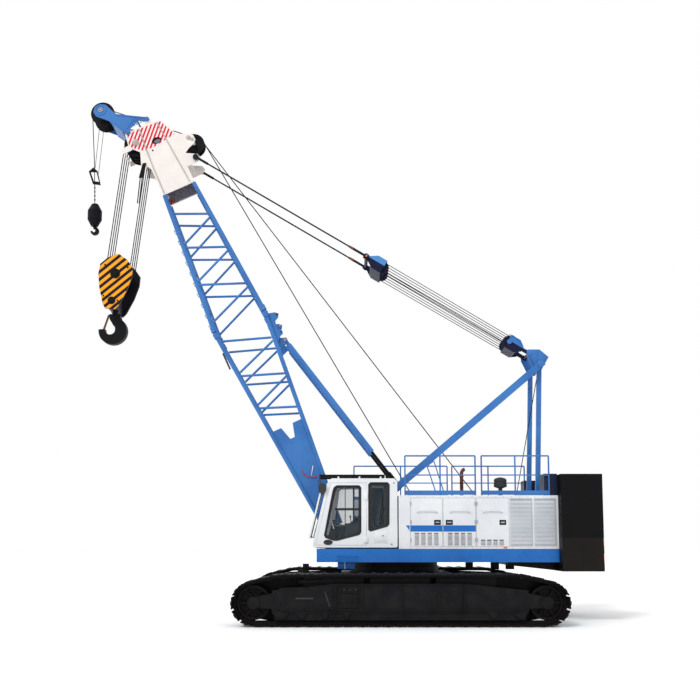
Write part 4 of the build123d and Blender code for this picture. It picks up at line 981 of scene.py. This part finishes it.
socket = Piece()
socket.plate([(6.512, 11.834), (6.602, 11.814), (6.694, 11.428), (6.574, 11.428)], (0.404, 0.444), 0.004)
socket.made("rope_socket", "main_fall", black)
links = Piece()
for x in (6.609, 6.659):
    links.pipe([(x, 0.42, 11.428), (x + 0.059, 0.42, 10.732)], 0.014, 8)
links.made("dead_end_links", "main_fall", black)
print("boom head dressed")

# %% [markdown]
# Along the boom sit rungs to climb by, plates that carry the joint's lugs, an angle dial that can be
# read from the ground, a dark strip on the front chord, a lamp and bright pin heads.

# %% Along the boom
joint, top = 5.93, 9.93  # where the boom's upper section starts and ends
rungs = Piece(boom)
for step in range(10):
    s = 6.159 + step * 0.306
    n = 0.7 + (0.42 - 0.7) * (s - joint) / (top - joint)
    y = 0.66 + (0.4 - 0.66) * (s - joint) / (top - joint)
    rungs.pipe([(n, y, s), (n + 0.085, y, s), (n + 0.085, y - 0.26, s), (n, y - 0.28, s)], 0.01, 8)
rungs.made("boom_rungs", "boom", blue)

lugs = Piece(boom)
lugs.plate([(-0.69, 5.86), (-0.92, 5.8), (-1.00, 5.73), (-0.95, 5.64), (-0.84, 5.58), (-0.8, 5.36),
            (-0.9, 5.3), (-0.89, 5.2), (-0.78, 5.16), (-0.62, 5.00)], (0.6, 0.622), 0.003)
lugs.mirrored().made("boom_lugs", "boom", blue)

panels = Piece(boom).box((0.7, 0.57, 4.92), (0.745, 0.6, 5.38), 0.006)
panels.bar((-0.945, 0.598, 5.72), (-0.945, 0.626, 5.72), 0.03, 16)
panels.bar((-0.86, 0.598, 5.26), (-0.86, 0.626, 5.26), 0.024, 16)
panels.made("boom_panels", "boom", dark_plastic)
dial = Piece(boom)
scale = ((0.144, 1.791), (0.122, 1.68), (0.057, 1.586), (-0.055, 1.52), (-0.165, 1.492))
dial.pipe([(n, 0.57, s) for n, s in scale], 0.012, 8)
dial.made("angle_dial", "boom", red_lens, "panel_white")
pointer = Piece(boom).bar((-0.178, 0.572, 1.785), (-0.036, 0.572, 1.576), 0.014, 8, 0.006)
pointer.made("angle_pointer", "boom", white)

lamps = Piece(boom)
lamps.turned([(0.0, 0.05), (0.05, 0.04), (0.07, 0.0), (0.055, -0.05), (0.02, -0.07), (0.0, -0.07)],
             (0.4, 0.0, 10.05), (1, 0, -1), 20)
lamps.bar((0.4, 0.0, 10.05), (0.42, 0.0, 9.98), 0.01, 8)
lamps.made("boom_lamps", "boom", grey)

heads = Piece(boom)
for front in (-1, 1):
    for s in (joint - 0.045, joint + 0.045):
        heads.bar((front * 0.7, 0.716, s), (front * 0.7, 0.73, s), 0.02, 6)
heads.bar((-0.87, 0.455, 5.06), (-0.87, 0.52, 5.06), 0.045, 16)
heads.bar((-0.94, 0.52, 5.72), (-0.94, 0.56, 5.72), 0.03, 12)
heads.mirrored().made("boom_pins", "boom", bright, "track_steel")
tail_lamp = Piece(boom).box((0.26, -0.368, 9.99), (0.34, -0.345, 10.09), 0.006)
tail_lamp.made("head_tail_lamp", "boom", red_lens, "hook_yellow")
print("boom dressed")

# %% [markdown]
# The luffing gear: bronze sleeves where the pendants enter their sockets, yellow caps on the link
# pins, and bosses with diagonal ribs on the gantry's head.

# %% Luffing gear and gantry
sleeves = Piece(luff)
for y in (0.47, -0.47):
    sleeves.bar((5.31, y, 0), (5.47, y, 0), 0.036, 16, 0.028)
sleeves.made("pendant_sleeves", "floating_block", bronze, "rope_steel")
pin_caps = Piece(luff).bar((4.93, 0.508, 0), (4.93, 0.516, 0), 0.024, 16)
pin_caps.mirrored().made("link_pin_caps", "floating_block", amber, "hook_yellow")
# Painted shade: black discs on the floating block's cheeks stand for the shade in its holes.
hole_shade_discs = Piece(luff)
for x in (4.5, 4.6, 4.7):
    hole_shade_discs.bar((x, 0.445, -0.09), (x, 0.4475, -0.09), 0.016, 12)
hole_shade_discs.mirrored().made("block_hole_shade", "floating_block", black)
shield = Piece(luff)
shield.pipe([(0.28, 0.338, 0.1), (0.45, 0.338, 0.17), (0.6, 0.338, 0.185), (0.7, 0.338, 0.15)], 0.012, 8)
shield.bar((0.6, 0.335, 0), (0.6, 0.35, 0), 0.065, 20)
shield.mirrored().made("gantry_block_guard", "gantry_block", blue)

bosses = Piece()
for centre in ((-3.71, 0.785, 6.37), (-3.52, 0.395, 6.74)):
    bosses.turned([(0.0, 0.02), (0.06, 0.018), (0.085, 0.006), (0.09, -0.008)], centre, steps=24)
bosses.mirrored().made("gantry_bosses", "upperworks", blue)
gussets = Piece()
gussets.bars(0.014, 8, ((-3.76, 0.4, 6.34), (-3.92, 0.4, 6.66)),
             ((-3.7, 0.4, 6.42), (-3.72, 0.4, 6.8)), ((-3.64, 0.4, 6.38), (-3.5, 0.4, 6.66)))
gussets.mirrored().made("gantry_gussets", "upperworks", blue)
stays = Piece()
stays.bars(0.014, 10, ((-0.79, 0.9, 3.76), (-1.03, 0.9, 3.02)), ((-0.96, 0.9, 3.89), (-1.23, 0.9, 3.02)))
stays.bar((-0.79, 0.9, 3.76), (-0.96, 0.9, 3.89), 0.012, 10)
stays.made("roof_stays", "upperworks", blue)
print("gantry dressed")

# %% [markdown]
# Rope lies on each drum in even turns. The turns are drawn as one wavy outline spun about the drum,
# which looks the same as a real spiral. Keeper plates and bolts finish the hook blocks.

# %% Winch turns and hooks
front_drum, rear_drum, drum_z = -0.7, -2.5, 2.15
turns = Piece()
for x in (front_drum, rear_drum):
    profile = [(0.238, -0.41)]
    for step in range(30):
        y = -0.4 + step * 0.0272
        profile += [(0.25, y), (0.264, y + 0.009), (0.264, y + 0.018), (0.25, y + 0.0265)]
    turns.turned(profile + [(0.238, 0.425)], (x, 0, drum_z), steps=40)
turns.made("rope_on_drums", "upperworks", rope_steel)

keepers = Piece(block)
for y in (0.441, -0.441):
    way = 1 if y > 0 else -1
    for x, z, size in ((0.0, 0.0, 0.13), (-0.01, -0.72, 0.1)):
        keepers.bar((x, y, z), (x, y + way * 0.014, z), size, 28)
        keepers.bar((x, y + way * 0.012, z), (x, y + way * 0.03, z), size * 0.55, 6)
    for x, z in ((0.3, 0.2), (-0.3, 0.2), (0.22, -0.62), (-0.16, -0.7), (0.0, 0.45)):
        keepers.bar((x, y - way * 0.01, z), (x, y + way * 0.012, z), 0.024, 6)
keepers.made("block_bolts", "main_block", black)
latch = Piece().plate([(7.472, 7.851), (7.517, 7.831), (7.633, 7.47), (7.598, 7.44)], (-0.03, 0.03), 0.003)
latch.made("hook_latch", "main_hook", bronze, "track_steel")
print("hooks finished")

# %% [markdown]
# Ropes are thin pipes with many rings. A rope inside one body just rides on it; a rope that runs between two
# bodies rides on neither. The hoist ropes cross the boom's hinge, so their runs from the drums ride on neither,
# and the part over the guide sheave rides on the boom.

# %% Ropes
def rope(name, body, runs, radius=0.013, rings=24, between_bodies=None):
    """Ropes along straight runs, each run a list of points."""
    piece = Piece()
    for run in runs:
        points = []
        for start, end in zip(run, run[1:]):
            start, end = Vector(start), Vector(end)
            points += [start.lerp(end, step / rings) for step in range(rings)]
        piece.pipe(points + [Vector(run[-1])], radius, 8)
    made = piece.made(name, body, rope_steel, smooth=60)
    line = made.data.attributes.new("rope_length", "FLOAT", "POINT")
    way = (Vector(runs[0][-1]) - Vector(runs[0][0])).normalized()
    line.data.foreach_set("value", [vert.co.dot(way) for vert in made.data.vertices])
    if between_bodies:
        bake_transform(made)
    return made


falls = []
for row in range(-2, 3):
    for z in (0.15 - 0.0225 * (2 - row), -0.15 + 0.0225 * (2 + row)):
        falls.append([luff @ Vector((0.6, row * 0.12, z)), luff @ Vector((4.44, row * 0.15, z))])
rope("luffing_falls", None, falls, 0.0095, between_bodies=("gantry_block", "floating_block"))

head_sheave, block_sheave = on_boom(*head_shaft), block.translation.copy()
down = (block_sheave - head_sheave).normalized()
out = Vector((-down.z, 0, down.x))
main_runs = []
for y in (-0.27, -0.09, 0.09, 0.27):
    across = Vector((0, y, 0))
    for way in (-1, 1):
        main_runs.append([sheave + across + out * way * 0.31 for sheave in (head_sheave, block_sheave)])
rope("main_falls", None, main_runs, between_bodies=("main_fall", "main_block"))

tip_sheave = on_boom(*tip_shaft)


def aux_line(z, y=0.0):
    """The auxiliary rope hangs a little out of plumb, as it does in the photograph."""
    return Vector((tip_sheave.x + 0.275 - 0.03 * (tip_sheave.z - z), y, z))


ball_top = aux_line(10.85)
rope("aux_fall_rope", None, [[aux_line(tip_sheave.z, 0.2), aux_line(11.94, 0.03)],
                             [aux_line(11.94, 0.03), ball_top]], 0.011, between_bodies=("aux_fall", "aux_ball"))
limit_lines = [[tip_sheave + Vector((0.2, -0.2, -0.19)), aux_line(11.88, -0.03)],
               [tip_sheave + Vector((-0.05, 0.2, -0.27)), aux_line(11.72) + Vector((-0.1, 0, 0))]]
rope("second_aux_rope", "aux_fall", limit_lines, 0.007)
chain = Piece()
for step in range(8):
    z = 11.38 - step * 0.055
    turn = (0.02, 0.0) if step % 2 else (0.0, 0.02)
    centre = aux_line(z)
    chain.pipe([centre + Vector((turn[0] * math.cos(angle), turn[1] * math.cos(angle), 0.034 * math.sin(angle)))
                for angle in [part * math.tau / 10 for part in range(11)]], 0.006, 6)
chain.made("limit_chain", "aux_fall", bright, "track_steel")

guide_sheave = on_boom(*guide_shaft)
for name, y, drum_x, front, lead in (("main_hoist_rope", 0.09, front_drum, head_sheave, 0.29),
                                     ("aux_hoist_rope", -0.09, rear_drum, tip_sheave, 0.275)):
    drum = Vector((drum_x, y, drum_z))
    sheave = Vector((guide_sheave.x, y, guide_sheave.z))
    way = (drum - sheave).normalized()
    off = Vector((way.z, 0, -way.x))
    rear_top, drum_side = sheave + off * 0.25, drum + off * 0.26
    rope(name, None, [[drum_side, rear_top]], rings=60, between_bodies=("upperworks", "boom"))
    onward = (front - guide_sheave).normalized()
    lift = Vector((-onward.z, 0, onward.x))
    over = [rear_top]
    start = math.atan2(off.z, off.x)
    turn = (start - math.atan2(lift.z, lift.x)) % math.tau
    for step in range(1, 7):
        angle = start - turn * step / 6
        over.append(sheave + Vector((math.cos(angle), 0, math.sin(angle))) * 0.25)
    over.append(Vector((front.x, y, front.z)) + lift * lead)
    rope(name + "_over_head", "boom", [over], rings=4)

rope("luffing_lead", "upperworks", [[(-3.74, 0.34, 6.35), (-2.97, 0.34, 2.35)]], 0.011)
print("ropes hung")

# %% [markdown]
# The floor is a plain pale sheet just under the tracks and no part of the crane.

# %% Floor and closing
ground = bmesh.new()
bmesh.ops.create_grid(ground, x_segments=1, y_segments=1, size=120)
bmesh.ops.translate(ground, verts=ground.verts[:], vec=(0, 0, -0.002))
floor_mesh = bpy.data.meshes.new("floor")
ground.to_mesh(floor_mesh)
ground.free()
floor = in_scene("floor", floor_mesh)
pale = Finish("pale_floor")
floor_mesh.materials.append(pale.done(Base_Color=colour(246, 247, 249), Roughness=0.85))
